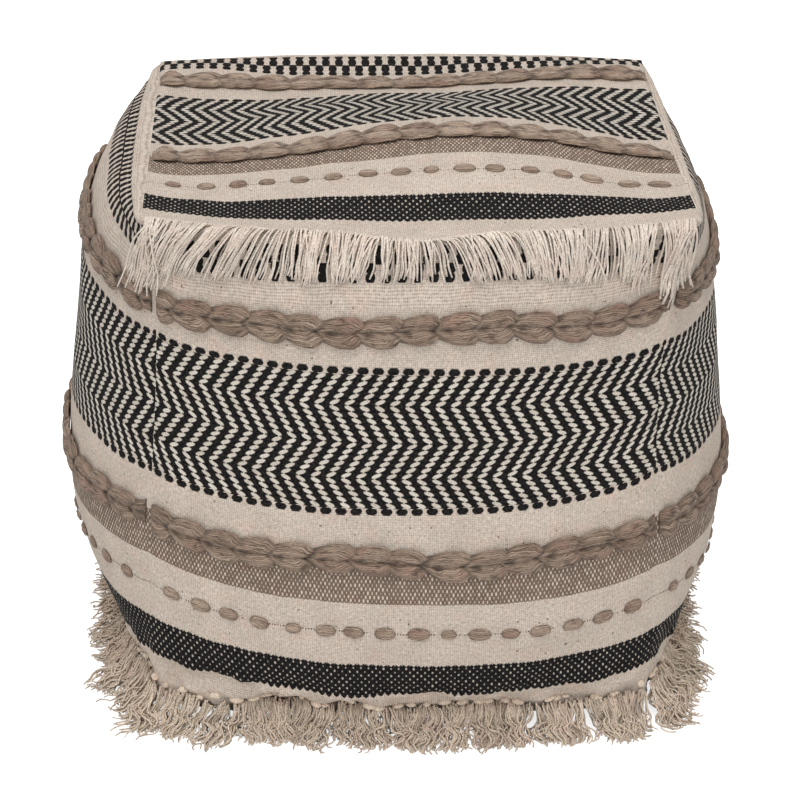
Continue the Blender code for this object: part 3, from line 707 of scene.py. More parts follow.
def plain_weave(wire, flat, x, y):
    """Cream warp and weft threads over and under, with slubs, painted shade where the weave lies low and in
    pinholes at some crossings, and a few dark flecks. Out come the colour, the height and the slubs."""
    across, down = wire.over(x, WARP_PITCH), wire.over(y, WEFT_PITCH)
    warp, weft = wire.zigzag(across), wire.zigzag(down)
    stretched = wire.add("ShaderNodeVectorMath", {0: flat, 1: (1.0, 0.6, 1.0)}, operation="MULTIPLY")
    slub = wire.noise(stretched.outputs[0], 560.0, 2.0, 0.8)
    ground = wire.plus(wire.times_plus(warp, 0.46, wire.times(weft, 0.74)), wire.times(slub, 1.22))
    cream = wire.use(COTTON_TONE, Vector=flat, Color=CREAM, Fine=430.0, Uneven=0.18, Pink=0.5)["Color"]
    # Painted shade: the cream darkens where warp, weft and slubs lie low.
    cream = wire.mix(wire.step(ground, 1.02, 0.60, 0.0, 0.70), cream, CREAM_PAINTED_SHADE)
    gap = wire.times(wire.step(warp, 0.17, 0.07), wire.step(weft, 0.20, 0.08))
    crossing = wire.random(wire.calc("ROUND", across), wire.calc("ROUND", down))
    # Painted shade in pinholes at some crossings, where warp and weft leave a gap.
    cream = wire.mix(wire.times(gap, wire.step(crossing, 0.45, 0.75, 0.0, 0.85)), cream, PINHOLE_SHADE)
    fleck = wire.step(wire.noise(flat, 330.0, 0.0), 0.800, 0.825)
    return wire.mix(wire.times(fleck, 0.8), cream, FLECK), ground, slub


def chevron(wire, x, y):
    """Black beads with slanted cream leaves between them, each row a quarter stitch on from the last and
    turning back every few rows. A thin cream thread links each leaf to the next. Out come the masks of
    the black ground, the beads and the leaves, and a random number for each leaf."""
    row_height = (CHEVRON[1] - CHEVRON[0]) / CHEVRON_ROWS
    upper, lower = CHEVRON[0] + row_height, CHEVRON[1] - row_height
    down = wire.over(wire.minus(y, CHEVRON[0]), row_height)
    row = wire.floor(down)
    leg = wire.calc("PINGPONG", wire.plus(row, 0.5), LEG_ROWS)
    turned = wire.calc("MODULO", wire.plus(row, 0.25), 2 * LEG_ROWS)
    lean = wire.calc("SIGN", wire.minus(LEG_ROWS, turned))
    phase = wire.times_plus(leg, 0.25, wire.over(x, STITCH))
    row_y = wire.from_middle(down, row_height)
    bead_x = wire.from_middle(wire.plus(phase, 0.5), STITCH)
    bead = ellipse(wire, bead_x, row_y, 0.0042, 0.0029, 0.2)
    bead = wire.times(bead, between(wire, y, CHEVRON[0] - 0.0006, CHEVRON[1] + 0.0006, 0.0004))
    leaf_x = wire.from_middle(phase, STITCH)
    slant = wire.times(lean, 0.42)
    slanted_x = wire.minus(leaf_x, wire.times(row_y, slant))
    slanted_y = wire.plus(row_y, wire.times(leaf_x, slant))
    leaf = ellipse(wire, slanted_x, slanted_y, 0.0040, 0.00160, 0.35)
    aside = wire.times(wire.calc("SIGN", row_y), lean)
    link = wire.calc("ABSOLUTE", wire.times_plus(aside, 0.125 * STITCH, leaf_x))
    leaf = wire.most(leaf, wire.step(link, 0.00070, 0.00025))
    leaf = wire.times(leaf, between(wire, y, upper, lower))
    ground = wire.most(between(wire, y, upper + 0.0008, lower - 0.0008), bead)
    return ground, bead, leaf, wire.random(wire.floor(phase), row)


def checks(wire, x, y):
    """Two rows of black blocks, half a stitch apart, each of two rows of beads, and a dark line between."""
    bead_height = 0.25 * (CHECKS[1] - CHECKS[0])
    halfway = CHECKS[0] + 2 * bead_height
    level = wire.over(wire.minus(y, CHECKS[0]), bead_height)
    block = wire.times(wire.floor(wire.times(level, 0.5)), 0.5)
    bead_x = wire.from_middle(wire.plus(block, wire.over(x, STITCH)), STITCH)
    bead_y = wire.from_middle(level, bead_height)
    check = ellipse(wire, bead_x, bead_y, 0.0034, 0.0042, 0.18)
    check = wire.most(check, between(wire, y, halfway - 0.0006, halfway + 0.0006))
    return wire.times(check, between(wire, y, *CHECKS))


def band(wire, flat, x, y, low, high, bead, row_height, speck_x, speck_y, scallop, waver):
    """Beads with specks of warp between them, in brick order, and scalloped edges. Out come the masks of
    the band and its specks, and how far its beads bulge."""
    level = wire.over(wire.minus(y, low), row_height)
    layer = wire.floor(level)
    place_x = wire.times_plus(layer, 0.5, wire.over(x, bead))
    chance = wire.random(wire.floor(place_x), layer)
    size = wire.scale(chance, 0.0, 1.0, 0.75, 1.20)
    local_x = wire.from_middle(place_x, bead)
    local_y = wire.from_middle(level, row_height)
    speck = ellipse(wire, local_x, local_y, wire.times(size, speck_x), wire.times(size, speck_y), 0.4)
    speck = wire.times(speck, wire.scale(chance, 0.0, 1.0, 0.6, 1.0))
    rim = wire.times(wire.zigzag(wire.plus(wire.over(x, bead), 0.5)), 2.0)
    rim = wire.times(wire.power(rim, 0.75), scallop)
    wave = wire.times(wire.minus(wire.noise(flat, 22.0, 2.0), 0.5), waver)
    upper = wire.step(wire.plus(y, rim), low - 0.0002, low + 0.0003)
    lower = wire.step(wire.minus(wire.plus(y, wave), rim), high + 0.0002, high - 0.0003)
    inside = wire.times(upper, lower)
    across = wire.power(wire.times(wire.zigzag(wire.plus(place_x, 0.5)), 2.0), 0.5)
    down = wire.power(wire.times(wire.zigzag(wire.plus(level, 0.5)), 2.0), 0.5)
    return inside, wire.times(inside, speck), wire.times(across, down)


def tuft_hole_shade(wire, x, y):
    """A row of small holes along the tufts, painted as dark spots of shade, some darker than others."""
    place_x = wire.over(x, HOLE_PITCH)
    local_x = wire.from_middle(place_x, HOLE_PITCH)
    hole = ellipse(wire, local_x, wire.minus(y, TUFT_ROW), 0.00055, 0.00075, 0.5)
    return wire.times(hole, wire.step(wire.random(wire.floor(place_x), 3.0), 0.15, 0.5, 0.15, 0.9))


def striped_cloth():
    """The striped handwoven cloth, on its own map: x is the length across, y the place in the repeat."""
    material, wire, shader = new_material("striped_cloth", 0.95, 0.0)
    flat, x, y = wire.map_place()
    wander = wire.noise(flat, 55.0, 1.0)
    y = wire.times_plus(wire.minus(wander, 0.5), 0.0016, y)
    cream, ground, slub = plain_weave(wire, flat, x, y)
    chevron_ground, bead, leaf, leaf_chance = chevron(wire, x, y)
    check = checks(wire, x, y)
    black_in, black_speck, black_bulge = band(wire, flat, x, y, *BLACK_BEADS)
    taupe_in, taupe_speck, taupe_bulge = band(wire, flat, x, y, *TAUPE_BEADS)
    taupe = wire.use(COTTON_TONE, Vector=flat, Color=TAUPE, Fine=500.0, Uneven=0.16, Pink=0.8)["Color"]
    # Painted shade: the taupe darkens between its beads, where they bulge least, and where the slubs are
    # thin and lie low.
    taupe = wire.mix(wire.scale(taupe_bulge, 0.0, 0.9, 0.75, 0.0), taupe, TAUPE_PAINTED_SHADE)
    taupe = wire.mix(wire.step(slub, 0.52, 0.32, 0.0, 0.6), taupe, TAUPE_PAINTED_SHADE)
    leaf_color = wire.mix(leaf_chance, *LEAVES)
    # Painted shade: the leaves darken where the slubs are thin and lie low.
    leaf_color = wire.mix(wire.step(slub, 0.50, 0.30, 0.0, 0.5), leaf_color, LEAF_PAINTED_SHADE)
    black = wire.mix(wire.step(wire.noise(flat, 520.0, 2.0, 0.7), 0.35, 0.68), *BLACKS)
    color = cream
    # The last mask, the tuft holes, lays painted shade.
    for mask, over in ((chevron_ground, black), (leaf, leaf_color), (check, black), (taupe_in, taupe),
                       (taupe_speck, TAUPE_SPECK), (black_in, black), (black_speck, BLACK_SPECK),
                       (tuft_hole_shade(wire, x, y), TUFT_HOLE_SHADE)):
        color = wire.mix(mask, color, over)
    wire.feed(shader.inputs["Base Color"], color)
    height = wire.times(ground, 0.36)
    black_high, taupe_high = wire.times(black_in, black_bulge), wire.times(taupe_in, taupe_bulge)
    for raised, share in ((wire.most(leaf, bead), 0.8), (check, 0.7), (black_high, 1.2), (taupe_high, 0.5)):
        height = wire.plus(height, wire.times(raised, share))
    wire.feed(shader.inputs["Normal"], wire.bump(height, 0.0008, 0.8))
    return material


# ---------------------------------------------------------------- the yarns

# Each kind of yarn has a dark, a light and a reddish colour.
PLAIT_COLORS = ((0.245, 0.173, 0.124, 1), (0.690, 0.522, 0.400, 1), (0.430, 0.280, 0.215, 1))
FRINGE_COLORS = ((0.74, 0.630, 0.535, 1), (0.93, 0.845, 0.745, 1), (0.86, 0.715, 0.620, 1))
FLOOR_COLORS = ((0.64, 0.520, 0.405, 1), (0.88, 0.745, 0.600, 1), (0.80, 0.625, 0.505, 1))
FRINGE_TWIST = 180.0      # turns of the fibres for each metre of a fringe yarn


def yarn_material(name, colors, twist, count, dark, streak, bump):
    """Cotton yarn: fibres or yarns that run along the piece, each with its own tone between the first
    two colours, turned here and there toward the third."""
    material, wire, shader = new_material(name, 0.95, 0.1)
    where = wire.add("ShaderNodeTexCoord", {}).outputs["Object"]
    along, around = wire.map_place()[1:]
    tone = wire.attribute("tone")
    fibres = wire.use(FIBRES, Along=along, Around=around, Twist=twist, Count=count, Dark=dark,
                      Streak=streak, Vector=where)
    own = wire.random(fibres["Yarn"], wire.times(tone, 57.0))
    share = wire.times_plus(own, 0.55, wire.times(tone, 0.45))
    blush = wire.step(wire.noise(where, 45.0, 1.0), 0.45, 0.68)
    blush = wire.times(blush, wire.scale(own, 0.0, 1.0, 0.3, 1.0))
    base = wire.mix(blush, wire.mix(share, colors[0], colors[1]), colors[2])
    base = wire.use(COTTON_TONE, Vector=where, Color=base, Fine=650.0, Uneven=0.17, Pink=0.0)["Color"]
    # Painted shade: the yarn darkens between its fibres and yarns, and by each point's deep value.
    gain = wire.times(fibres["Shade"], wire.scale(wire.attribute("deep"), 0.0, 1.0, 1.0, 0.45))
    wire.feed(shader.inputs["Base Color"], wire.dim(base, gain))
    wire.feed(shader.inputs["Normal"], wire.bump(fibres["Height"], bump, 0.7))
    return material


# ---------------------------------------------------------------- the cover

COVER_COLUMNS = 109       # lines of the cover across a panel
COVER_ROWS = 115          # and down it
PANEL_STEP = 0.9          # between two panels on the cloth's map
# The foot's roll: how far in and how high each of its lines lies.
FOOT_ROLL = ((0.004, 0.011), (0.009, 0.005), (0.014, 0.0015), (0.020, 0.0))
BASE_SHARES = (0.7, 0.4, 0.1, 0.0)


def cover_lines(count):
    """Shares from -1 to 1, twice as close at the ends: t (1.25 - 0.25 t^2)."""
    t = np.linspace(-1, 1, count)
    return t * (1.25 - 0.25 * t * t)


def foot_and_base(panel, map_y):
    """A side panel and the y of its map, with lines added below: the foot rolled under along a quarter
    turn, and the base drawn to its middle."""
    lines = [(1 - inward / SEAM_FOOT, height, inward) for inward, height in FOOT_ROLL]
    base, _, rolled = lines[-1]
    lines += [(base * share, 0.0, rolled + (1 - share) * SEAM_FOOT) for share in BASE_SHARES]
    rows, further = [panel], [map_y]
    for share, height, inward in lines:
        ring = (panel[-1] - CENTRE) * share
        ring[:, 2] = height
        rows.append((ring + CENTRE)[None])
        further.append(map_y[-1:] + inward)
    return np.concatenate(rows), np.concatenate(further)


def make_cover(material):
    """The filled cube as one closed surface: five panels of cloth on grids of (u, s), the side panels
    with their foot and base, all joined along the seams."""
    lines = cover_lines(COVER_COLUMNS)
    lengths = 0.5 * (cover_lines(COVER_ROWS) + 1)
    points, faces, places, first = [], [], [], 0
    for side in range(TOP + 1):
        s = lengths[:, None] * length_of(side)
        panel = cloth(side, lines[None, :], s)
        map_y = np.broadcast_to(s - start_of(side) - drift(side, lines[None, :], s), panel.shape[:2])
        if side != TOP:
            panel, map_y = foot_and_base(panel, map_y)
        map_x = np.broadcast_to(width_at(side, lines) + PANEL_STEP * side, map_y.shape)
        rows, columns = panel.shape[:2]
        quads = grid_faces(rows, columns, first)
        flat = np.stack((map_x, map_y), axis=-1).reshape(-1, 2)
        places.append(flat[quads.ravel() - first])
        points.append(panel.reshape(-1, 3))
        faces.append(quads)
        first += rows * columns
    points, faces, places = np.concatenate(points), np.concatenate(faces), np.concatenate(places)
    piece = new_piece("cover", points, faces.tolist(), places, material)
    work = bmesh.new()
    work.from_mesh(piece.data)
    bmesh.ops.remove_doubles(work, verts=work.verts, dist=2e-5)
    bmesh.ops.dissolve_degenerate(work, dist=1e-6, edges=work.edges)
    bmesh.ops.recalc_face_normals(work, faces=work.faces)
    work.to_mesh(piece.data)
    work.free()
    place(piece, "cream_cloth", "body")
    return piece


# ---------------------------------------------------------------- plaits and tufts

PLAIT_LOBES = 14          # that start on the panel, in each of a plait's two rows
PLAIT_END = 0.990         # share of the panel's half width that a plait reaches
PLAIT_HALF = 0.0058       # distance of a row's middle from the middle line
LOBE_SKEW = 0.0056        # how far a lobe's outer edge runs ahead of its middle, and its inner edge behind
LOBE_LENGTH = 1.62        # in pitches: each lobe lies over the start of the next
LOBE_RINGS = 13
LOBE_YARNS = 12           # yarns seen on a lobe
YARN_STEPS = 3            # points of a cross section for each yarn
UNDERSIDE = 3             # points of a lobe's cross section below its edges
END_FADE = 0.008          # length over which a plait gets lower toward its end

TUFTS = 16
TUFT_END = 0.97           # share of the panel's half width that the row reaches
TUFT_HALF_LENGTH = 0.0075
TUFT_HALF_WIDTH = 0.0050
TUFT_DEPTH = 0.0025


def section(steps, below):
    """Angles round a cross section: even steps over its upper half, and a few points below it."""
    upper = np.linspace(0.0, math.pi, steps + 1)
    return np.concatenate((upper, np.linspace(math.pi, 2 * math.pi, below + 2)[1:-1]))


def make_plait(name, side, s, seed, material, node):
    """A plait of two rows of lobes side by side. Each lobe is a bundle of yarns: it leaves the middle
    line under the lobe before it, widens along the plait and turns back to the middle line at its
    blunt end. Its cross section is a half ellipse with a groove between every two yarns. The plait
    gets lower and narrower toward its two ends."""
    rng = np.random.default_rng(seed)
    reach = width_at(side, PLAIT_END)
    back = width_at(side, -PLAIT_END)
    pitch = (reach - back) / PLAIT_LOBES
    lobe = np.repeat(np.arange(-1, PLAIT_LOBES), 2)
    row = np.where(np.arange(len(lobe)) % 2 == 0, -1.0, 1.0)[:, None]
    shift = np.repeat(rng.uniform(-0.0022, 0.0022, len(lobe) // 2), 2)[:, None]
    shift = shift + rng.uniform(-0.0008, 0.0008, (len(lobe), 1))
    t = np.linspace(0, 1, LOBE_RINGS)[None, :] ** 0.9
    fat = rng.uniform(0.93, 1.07, (len(lobe), 1))
    blunt = smooth(0.72, 1.0, t)
    along = back + pitch * (lobe[:, None] + 0.05) + shift + pitch * LOBE_LENGTH * t * (1 - 0.03 * blunt)
    sideways = row * (0.0008 + (PLAIT_HALF - 0.0008) * smooth(0, 0.60, t) - 0.0036 * blunt ** 1.4) * fat
    width = (0.0012 + 0.0052 * smooth(-0.08, 0.55, t) - 0.0034 * blunt ** 1.7) * fat
    depth = (0.0010 + 0.0032 * smooth(0.0, 0.55, t) - 0.0014 * blunt ** 1.7) * fat
    raised = 0.0006 + 0.0019 * smooth(0.22, 0.70, t) - 0.0006 * blunt
    arc = YARN_STEPS * LOBE_YARNS
    angle = section(arc, UNDERSIDE)
    point = np.arange(len(angle))
    groove = np.where((point % YARN_STEPS == 0) & (point <= arc), 0.955, 1.0)
    outer = row[..., None] * np.cos(angle)
    ahead = along[..., None] + LOBE_SKEW * outer * smooth(0.0, 0.5, t)[..., None]
    down = sideways[..., None] + width[..., None] * np.cos(angle) * groove
    profile = np.where(angle <= math.pi, np.abs(np.sin(angle)) ** 0.72, -0.2)
    lift = raised[..., None] + depth[..., None] * profile * groove
    fit = smooth(0, END_FADE, np.minimum(reach - ahead, ahead - back))
    down = down * (0.84 + 0.16 * fit)
    lift = np.maximum(lift, 0.0004) * (0.28 + 0.72 * np.sqrt(fit))
    u = line_at(side, np.clip(ahead, back, reach))
    stray = 0.0020 * np.sin(6.6 * u + seed) + 0.0012 * soft_noise(u * 5 + seed, 0.5, 41)
    middle_s = s + start_of(side) + stray
    middle_s = middle_s + drift(side, u, middle_s)
    rings = cloth(side, u, middle_s + down, lift)
    # Painted light: the top's plaits take lighter tones than those on the sides, standing in for the
    # stronger light on the top.
    tone = rng.uniform(0.0, 0.3, len(lobe)) + (0.7 if side == TOP else 0.0)
    run = along + rng.uniform(0, 1, (len(lobe), 1))
    # Painted shade: each lobe darkens where it comes out from under the lobe before, at its blunt end,
    # along its inner edge by the middle line, and on its inner side halfway along.
    deep = 0.9 * smooth(0.45, 0.30, t) + 0.8 * smooth(0.93, 1.0, t)
    deep = deep[..., None] + 0.7 * smooth(0.86, 1.0, -outer)
    crossed = smooth(0.42, 0.58, t) * smooth(0.70, 0.62, t)
    deep = deep + smooth(0.35, 0.75, -outer) * crossed[..., None]
    lobes = tubes(rings, run, tone, np.clip(deep, 0, 1))
    return place(piece_of(name, [lobes], material), "taupe_yarn", node)


def make_tufts(name, side, seed, material, node):
    """A row of oval tufts: short bundles of yarn whose ends go into the cloth. The holes between
    them are painted as dark spots of shade in the cloth's material."""
    rng = np.random.default_rng(seed)
    middle = (-TUFT_END + 2 * TUFT_END / TUFTS * (np.arange(TUFTS) + 0.5))[:, None]
    middle = width_at(side, middle) + rng.uniform(-0.0018, 0.0018, (TUFTS, 1))
    t = np.linspace(-1, 1, 11)[None, :]
    size = rng.uniform(0.86, 1.1, (TUFTS, 1))
    swell = np.sqrt(np.clip(1 - np.abs(t) ** 2.4, 0, 1)) * 0.97 + 0.03
    along = middle + TUFT_HALF_LENGTH * size * rng.uniform(0.88, 1.10, (TUFTS, 1)) * t
    width = TUFT_HALF_WIDTH * swell * size
    depth = TUFT_DEPTH * swell * rng.uniform(0.8, 1.1, (TUFTS, 1))
    angle = section(18, 2)
    ripple = 1 - 0.17 * np.abs(np.sin(angle * 4.5)) ** 0.8 * (angle < math.pi)
    tilt = rng.uniform(-0.10, 0.10, (TUFTS, 1, 1))
    across = width[..., None] * np.cos(angle) * ripple
    u = line_at(side, along[..., None] - tilt * across)
    down = across + tilt * (along[..., None] - middle[..., None])
    lift = 0.0005 + np.maximum(depth[..., None] * np.sin(angle) * ripple, -0.0002)
    s = TUFT_ROW + start_of(side) + 0.0006 * np.sin(7 * u + seed)
    rings = cloth(side, u, s + drift(side, u, s) + down, lift)
    tone = 0.5 + 0.5 * rng.uniform(0.2, 1.0, TUFTS)
    # Painted shade: each tuft darkens toward its two ends, where they go into the cloth.
    deep = 0.8 * smooth(0.75, 1.0, np.abs(t))[..., None]
    run = along + rng.uniform(0, 1, (TUFTS, 1))
    tufts = tubes(rings, run, tone, deep)
    return place(piece_of(name, [tufts], material), "taupe_yarn", node)


# ---------------------------------------------------------------- the hanging fringe

# The hanging fringe along the front edge: share u, sideways run for each length fallen, and reach.
HANG = (
    (-1.00, -0.20, 0.062),
    (-0.88, -0.60, 0.053),
    (-0.75, -0.95, 0.044),
    (-0.50, -0.90, 0.039),
    (-0.43, -0.15, 0.036),
    (-0.20, -0.35, 0.034),
    (-0.05, 0.05, 0.033),
    (0.06, 0.80, 0.033),
    (0.28, 1.00, 0.034),
    (0.45, 0.40, 0.035),
    (0.58, -0.05, 0.037),
    (0.72, 0.35, 0.041),
    (0.88, 0.10, 0.051),
    (1.00, 0.15, 0.066),
)
HANG_YARNS = 540
HANG_STEPS = 12
HANG_LOCKS = 17           # locks on each half of the edge
HANG_RADIUS = 0.00074
HANG_SIDES = 5
HANG_END = 0.990          # share u up to which the yarns lie on the front panel
# The first two points of a yarn, on the top panel: distance behind its edge, and height over it.
BEHIND_EDGE = ((0.0042, 0.0004), (0.0014, 0.0016))


def turned_over(paths, outward, aside, layer, root, rng):
    """Put the first two points of every hanging yarn on the top panel behind the seam, or on the front
    panel where the top's cloth reaches down over the seam."""
    middle = smooth(0.0004, 0.0030, front_edge(root))[..., None]
    for step, (behind, height) in enumerate(BEHIND_EDGE):
        over = TOP_LENGTH - behind * rng.uniform(0.5, 1.0, root.shape)
        start = cloth(TOP, root + aside[:, step:step + 1], over, height * (0.6 + layer))
        lower = cloth(0, root, front_edge(root) - 0.0020 + 0.0016 * step, 0.0006 + 0.0010 * step)
        paths[:, step] = (start * (1 - middle) + lower * middle)[:, 0]
        outward[:, step] = (0.0, -0.5, 1.0)


def make_top_fringe(material):
    """The hanging fringe: yarns leave the top panel, turn over the front seam and fall down the front.
    Each path runs sideways by a share of its fall, first more and then less, and is drawn to its lock.
    One yarn in twenty strays. Past the panel's corners a path bends round to the side."""
    rng = np.random.default_rng(14)
    t = np.linspace(0, 1, HANG_STEPS)[None, :]
    each = (HANG_YARNS, 1)
    root = np.linspace(-0.985, 0.985, HANG_YARNS)[:, None] + rng.uniform(-0.006, 0.006, each)
    root = np.clip(root, -0.992, 0.992)
    place_u, slope, fall = np.array(HANG).T
    lock = np.round(root * HANG_LOCKS + 0.7 * soft_noise(root * HANG_LOCKS, 0.5, 60)) / HANG_LOCKS
    lean = np.interp(root, place_u, slope) + 0.34 * soft_noise(lock * 19, 0.5, 61)
    lean = lean + rng.normal(0, 0.12, each)
    stray = rng.uniform(0, 1, each) > 0.95
    lean = np.where(stray, lean + rng.uniform(-0.8, 0.8, each) * (1 - root ** 4), lean)
    reach = np.interp(root, place_u, fall) * rng.uniform(0.82, 1.05, each)
    reach = reach * (1 + 0.07 * soft_noise(root * 16, 0.5, 63)) - front_edge(root)
    pull = rng.uniform(0.10, 0.60, each)
    aside = lean * reach * t ** (0.90 - 0.28 * np.minimum(np.abs(lean), 1)) / SEAM_WAIST
    u = root + (lock - root) * pull * t + aside + 0.0095 * soft_noise(root * 90 + 7, t * 3.8, 62) * t
    layer = rng.uniform(0, 1, each) ** 0.7
    s = front_edge(root) + reach * np.clip(t - 0.08, 0, 1) ** 1.40 / 0.92 ** 1.40
    lift = 0.0012 + 0.0022 * layer + 0.0052 * np.sin(math.pi * np.clip(t * 1.1, 0, 1) ** 0.70) * layer
    lift = lift + 0.0010 * soft_noise(root * 70 + 3, t * 3 + 9, 64) + 0.002 * stray
    lift = lift + 0.0058 * smooth(0.043, 0.056, s)
    inside = np.clip(u, -HANG_END, HANG_END)
    paths = cloth(0, inside, s, np.maximum(lift, 0.0010))
    outward = unit(cloth(0, inside, s + 0.002, 0.01) - cloth(0, inside, s + 0.002, 0.0))
    beyond = (u - inside)[..., None] * SEAM_WAIST
    paths = paths + beyond * (0.85, 0.0, 0.0) + np.abs(beyond) * (0.0, 0.35, 0.0)
    turned_over(paths, outward, aside, layer, root, rng)
    radius = np.full(u.shape, HANG_RADIUS) * rng.uniform(0.88, 1.12, each) * (1 - 0.25 * t ** 10)
    rings = yarn_rings(paths, radius, HANG_SIDES, unit(outward))
    # Painted shade under the upper yarns: yarns that lie lower are darker, except near their roots.
    deep = (0.46 * smooth(0.60, 0.0, layer) * smooth(0.0, 0.25, t))[..., None]
    yarns = tubes(rings, run_of(paths, rng), rng.uniform(0.1, 1.0, HANG_YARNS), deep)
    return place(piece_of("yarns_top", [yarns], material), "fringe_yarn", "fringe_top")


# ---------------------------------------------------------------- the floor fringes

FLOOR_LOCKS = 30
FLOOR_YARNS = 1000
FLOOR_STEPS = 13
FLOOR_RADIUS = 0.00076
LOCK_HALF = 0.0085        # half the width of a lock at its root
ROOT_ROW = 0.3965         # where the yarns leave the hem, in cloth from the panel's upper end
KNOT_ROW = 0.3945
LOWEST = 0.0002           # height over the floor of any point of a yarn


def hem_knots(side, middle, rng):
    """A knot of cloth over the root of each lock: a short fat tube, pointed at both ends."""
    steps = np.linspace(0, 1, 6)[None, :]
    each = middle.shape
    u = middle + rng.uniform(-0.02, 0.02, each) + rng.uniform(0.025, 0.055, each) * (steps - 0.5)
    u = np.clip(u, -0.985, 0.985)
    s = KNOT_ROW + rng.uniform(-0.003, 0.002, each) + 0.0012 * rng.normal(0, 1, each) * steps
    paths = cloth(side, u, s, 0.0012)
    upward = unit(cloth(side, u, s, 0.01) - paths)
    fat = 0.0005 + 0.0020 * np.sin(math.pi * np.clip(steps, 0.02, 0.98)) ** 0.6
    fat = fat * rng.uniform(0.6, 1.25, each)
    return tubes(yarn_rings(paths, fat, 10, upward), run_of(paths, rng), rng.uniform(0.7, 1.0, len(middle)))


def make_floor_fringe(side, material):
    """The floor fringe: yarns leave the hem, bend over and lie on the floor in curling locks that are
    thick at the root and pointed at the tip. A yarn's path is the running sum of headings: its lock's
    turn, a slow swing, a crimp of about two waves, and its own stray, which is wild for one in eight.
    Yarns keep beside their lock's path and draw in toward its tip. A knot of cloth sits over each root."""
    rng = np.random.default_rng(30 + side)
    t = np.linspace(0, 1, FLOOR_STEPS)[None, :]
    outward = OUTWARD[side]
    across = np.cross((0.0, 0.0, 1.0), outward)
    locks, each, whole = (FLOOR_LOCKS, 1), (FLOOR_YARNS, 1), 2 * math.pi
    number = np.arange(FLOOR_YARNS)[:, None]
    middle = (np.linspace(-0.96, 0.96, FLOOR_LOCKS) + rng.uniform(-0.02, 0.02, FLOOR_LOCKS))[:, None]
    turn = 0.85 * middle ** 3 + rng.normal(0, 0.17, locks)
    length = FLOOR_REACH[side] * rng.uniform(0.84, 1.10, locks)
    length = length * (1.38 + 0.20 * soft_noise(middle * 5.5, 0.5, 76 + side))
    swing = rng.normal(0, 0.42, locks) * np.sin(4.5 * t + rng.uniform(0, whole, locks))
    crimp = rng.uniform(0, whole, locks) + whole * t * rng.uniform(1.5, 2.3, locks)
    lock = np.sort(rng.integers(0, FLOOR_LOCKS, FLOOR_YARNS))
    offset = rng.uniform(-1, 1, each)
    root = np.clip(middle[lock] + offset * LOCK_HALF / SEAM_WAIST, -0.99, 0.99)
    root_s = ROOT_ROW + 0.005 * rng.uniform(0, 1, each)
    start = cloth(side, root, root_s, 0.0012 + 0.004 * rng.uniform(0, 1, each))
    wild = rng.uniform(0, 1, each) > 0.88
    own = np.where(wild, 0.85, 0.16) * rng.normal(0, 1, each)
    curve = np.where(wild, 1.9, 1.0) * soft_noise(number * 3.7, t * 2.6 + 0.3, 74 + side)
    wave = 1.05 * smooth(0, 0.3, t) * np.sin(crimp[lock] + 0.7 * own)
    heading = turn[lock] + swing[lock] + wave + own + 0.7 * curve
    reach = length[lock] * rng.uniform(0.90, 1.08, each) ** 1.5 * (1 - 0.34 * np.abs(offset) ** 1.4)
    reach = reach * np.where(wild, 0.75, 1.0)
    forward = reach * np.cumsum(np.cos(heading) * (t > 0), axis=1) / (FLOOR_STEPS - 1)
    beside = reach * np.cumsum(np.sin(heading) * (t > 0), axis=1) / (FLOOR_STEPS - 1)
    beside = beside - offset * LOCK_HALF * 0.30 * t ** 1.5
    paths = start + outward * (0.001 + forward)[..., None] + across * beside[..., None]
    layer = rng.uniform(0, 1, each)
    fall = np.clip(1 - t * (1.6 + 1.4 * layer), 0, 1) ** 1.5
    height = start[..., 2] * fall + (0.002 + 0.013 * layer) * np.sin(math.pi * t ** 0.85) * (1 - 0.45 * t)
    height = height + 0.0012 * (soft_noise(number * 2.3, t * 4, 73) + 1) * (1 - t)
    paths[..., 2] = np.maximum(height + 0.0008, 0.0009)
    radius = np.full(t.shape, FLOOR_RADIUS) * rng.uniform(0.85, 1.15, each) * (1 - 0.20 * t ** 10)
    upward = np.broadcast_to(np.array((0.0, 0.0, 1.0)) + 0.5 * outward, paths.shape)
    rings = yarn_rings(paths, radius, 4, upward)
    rings[..., 2] = np.maximum(rings[..., 2], LOWEST)
    # Painted shade under the upper yarns: yarns that lie lower are darker, a little less toward their tips.
    deep = (0.60 * smooth(0.7, 0.0, layer) * (1 - 0.4 * t))[..., None]
    yarns = tubes(rings, run_of(paths, rng), rng.uniform(0.2, 1.0, FLOOR_YARNS), deep)
    piece = piece_of("yarns_" + SIDE_NAMES[side], [yarns, hem_knots(side, middle, rng)], material)
    return place(piece, "fringe_yarn", "fringe_" + SIDE_NAMES[side])


# ---------------------------------------------------------------- floor, light and camera

FLOOR_HALF = 25.0
FLOOR_GLOW = 0.75         # added where the camera sees the floor
WORLD_STRENGTH = 0.52
# Square soft boxes: name, place, aim, size and power.
LAMPS = (
    ("overhead", (-0.25, -1.15, 3.0), (0, 0, 0.3), 2.2, 47),
    ("front", (0.2, -2.6, 1.6), (0, 0, 0.25), 1.6, 11),
)
PHOTO_WIDTH = 800.0       # in pixels, as is the focal length
PHOTO_FOCAL = 2339.0
SENSOR = 36.0
CAMERA_AIM = (-0.003, 0.0, 0.180)
CAMERA_RISE = 27.35       # degrees over the floor
CAMERA_DISTANCE = 1.906


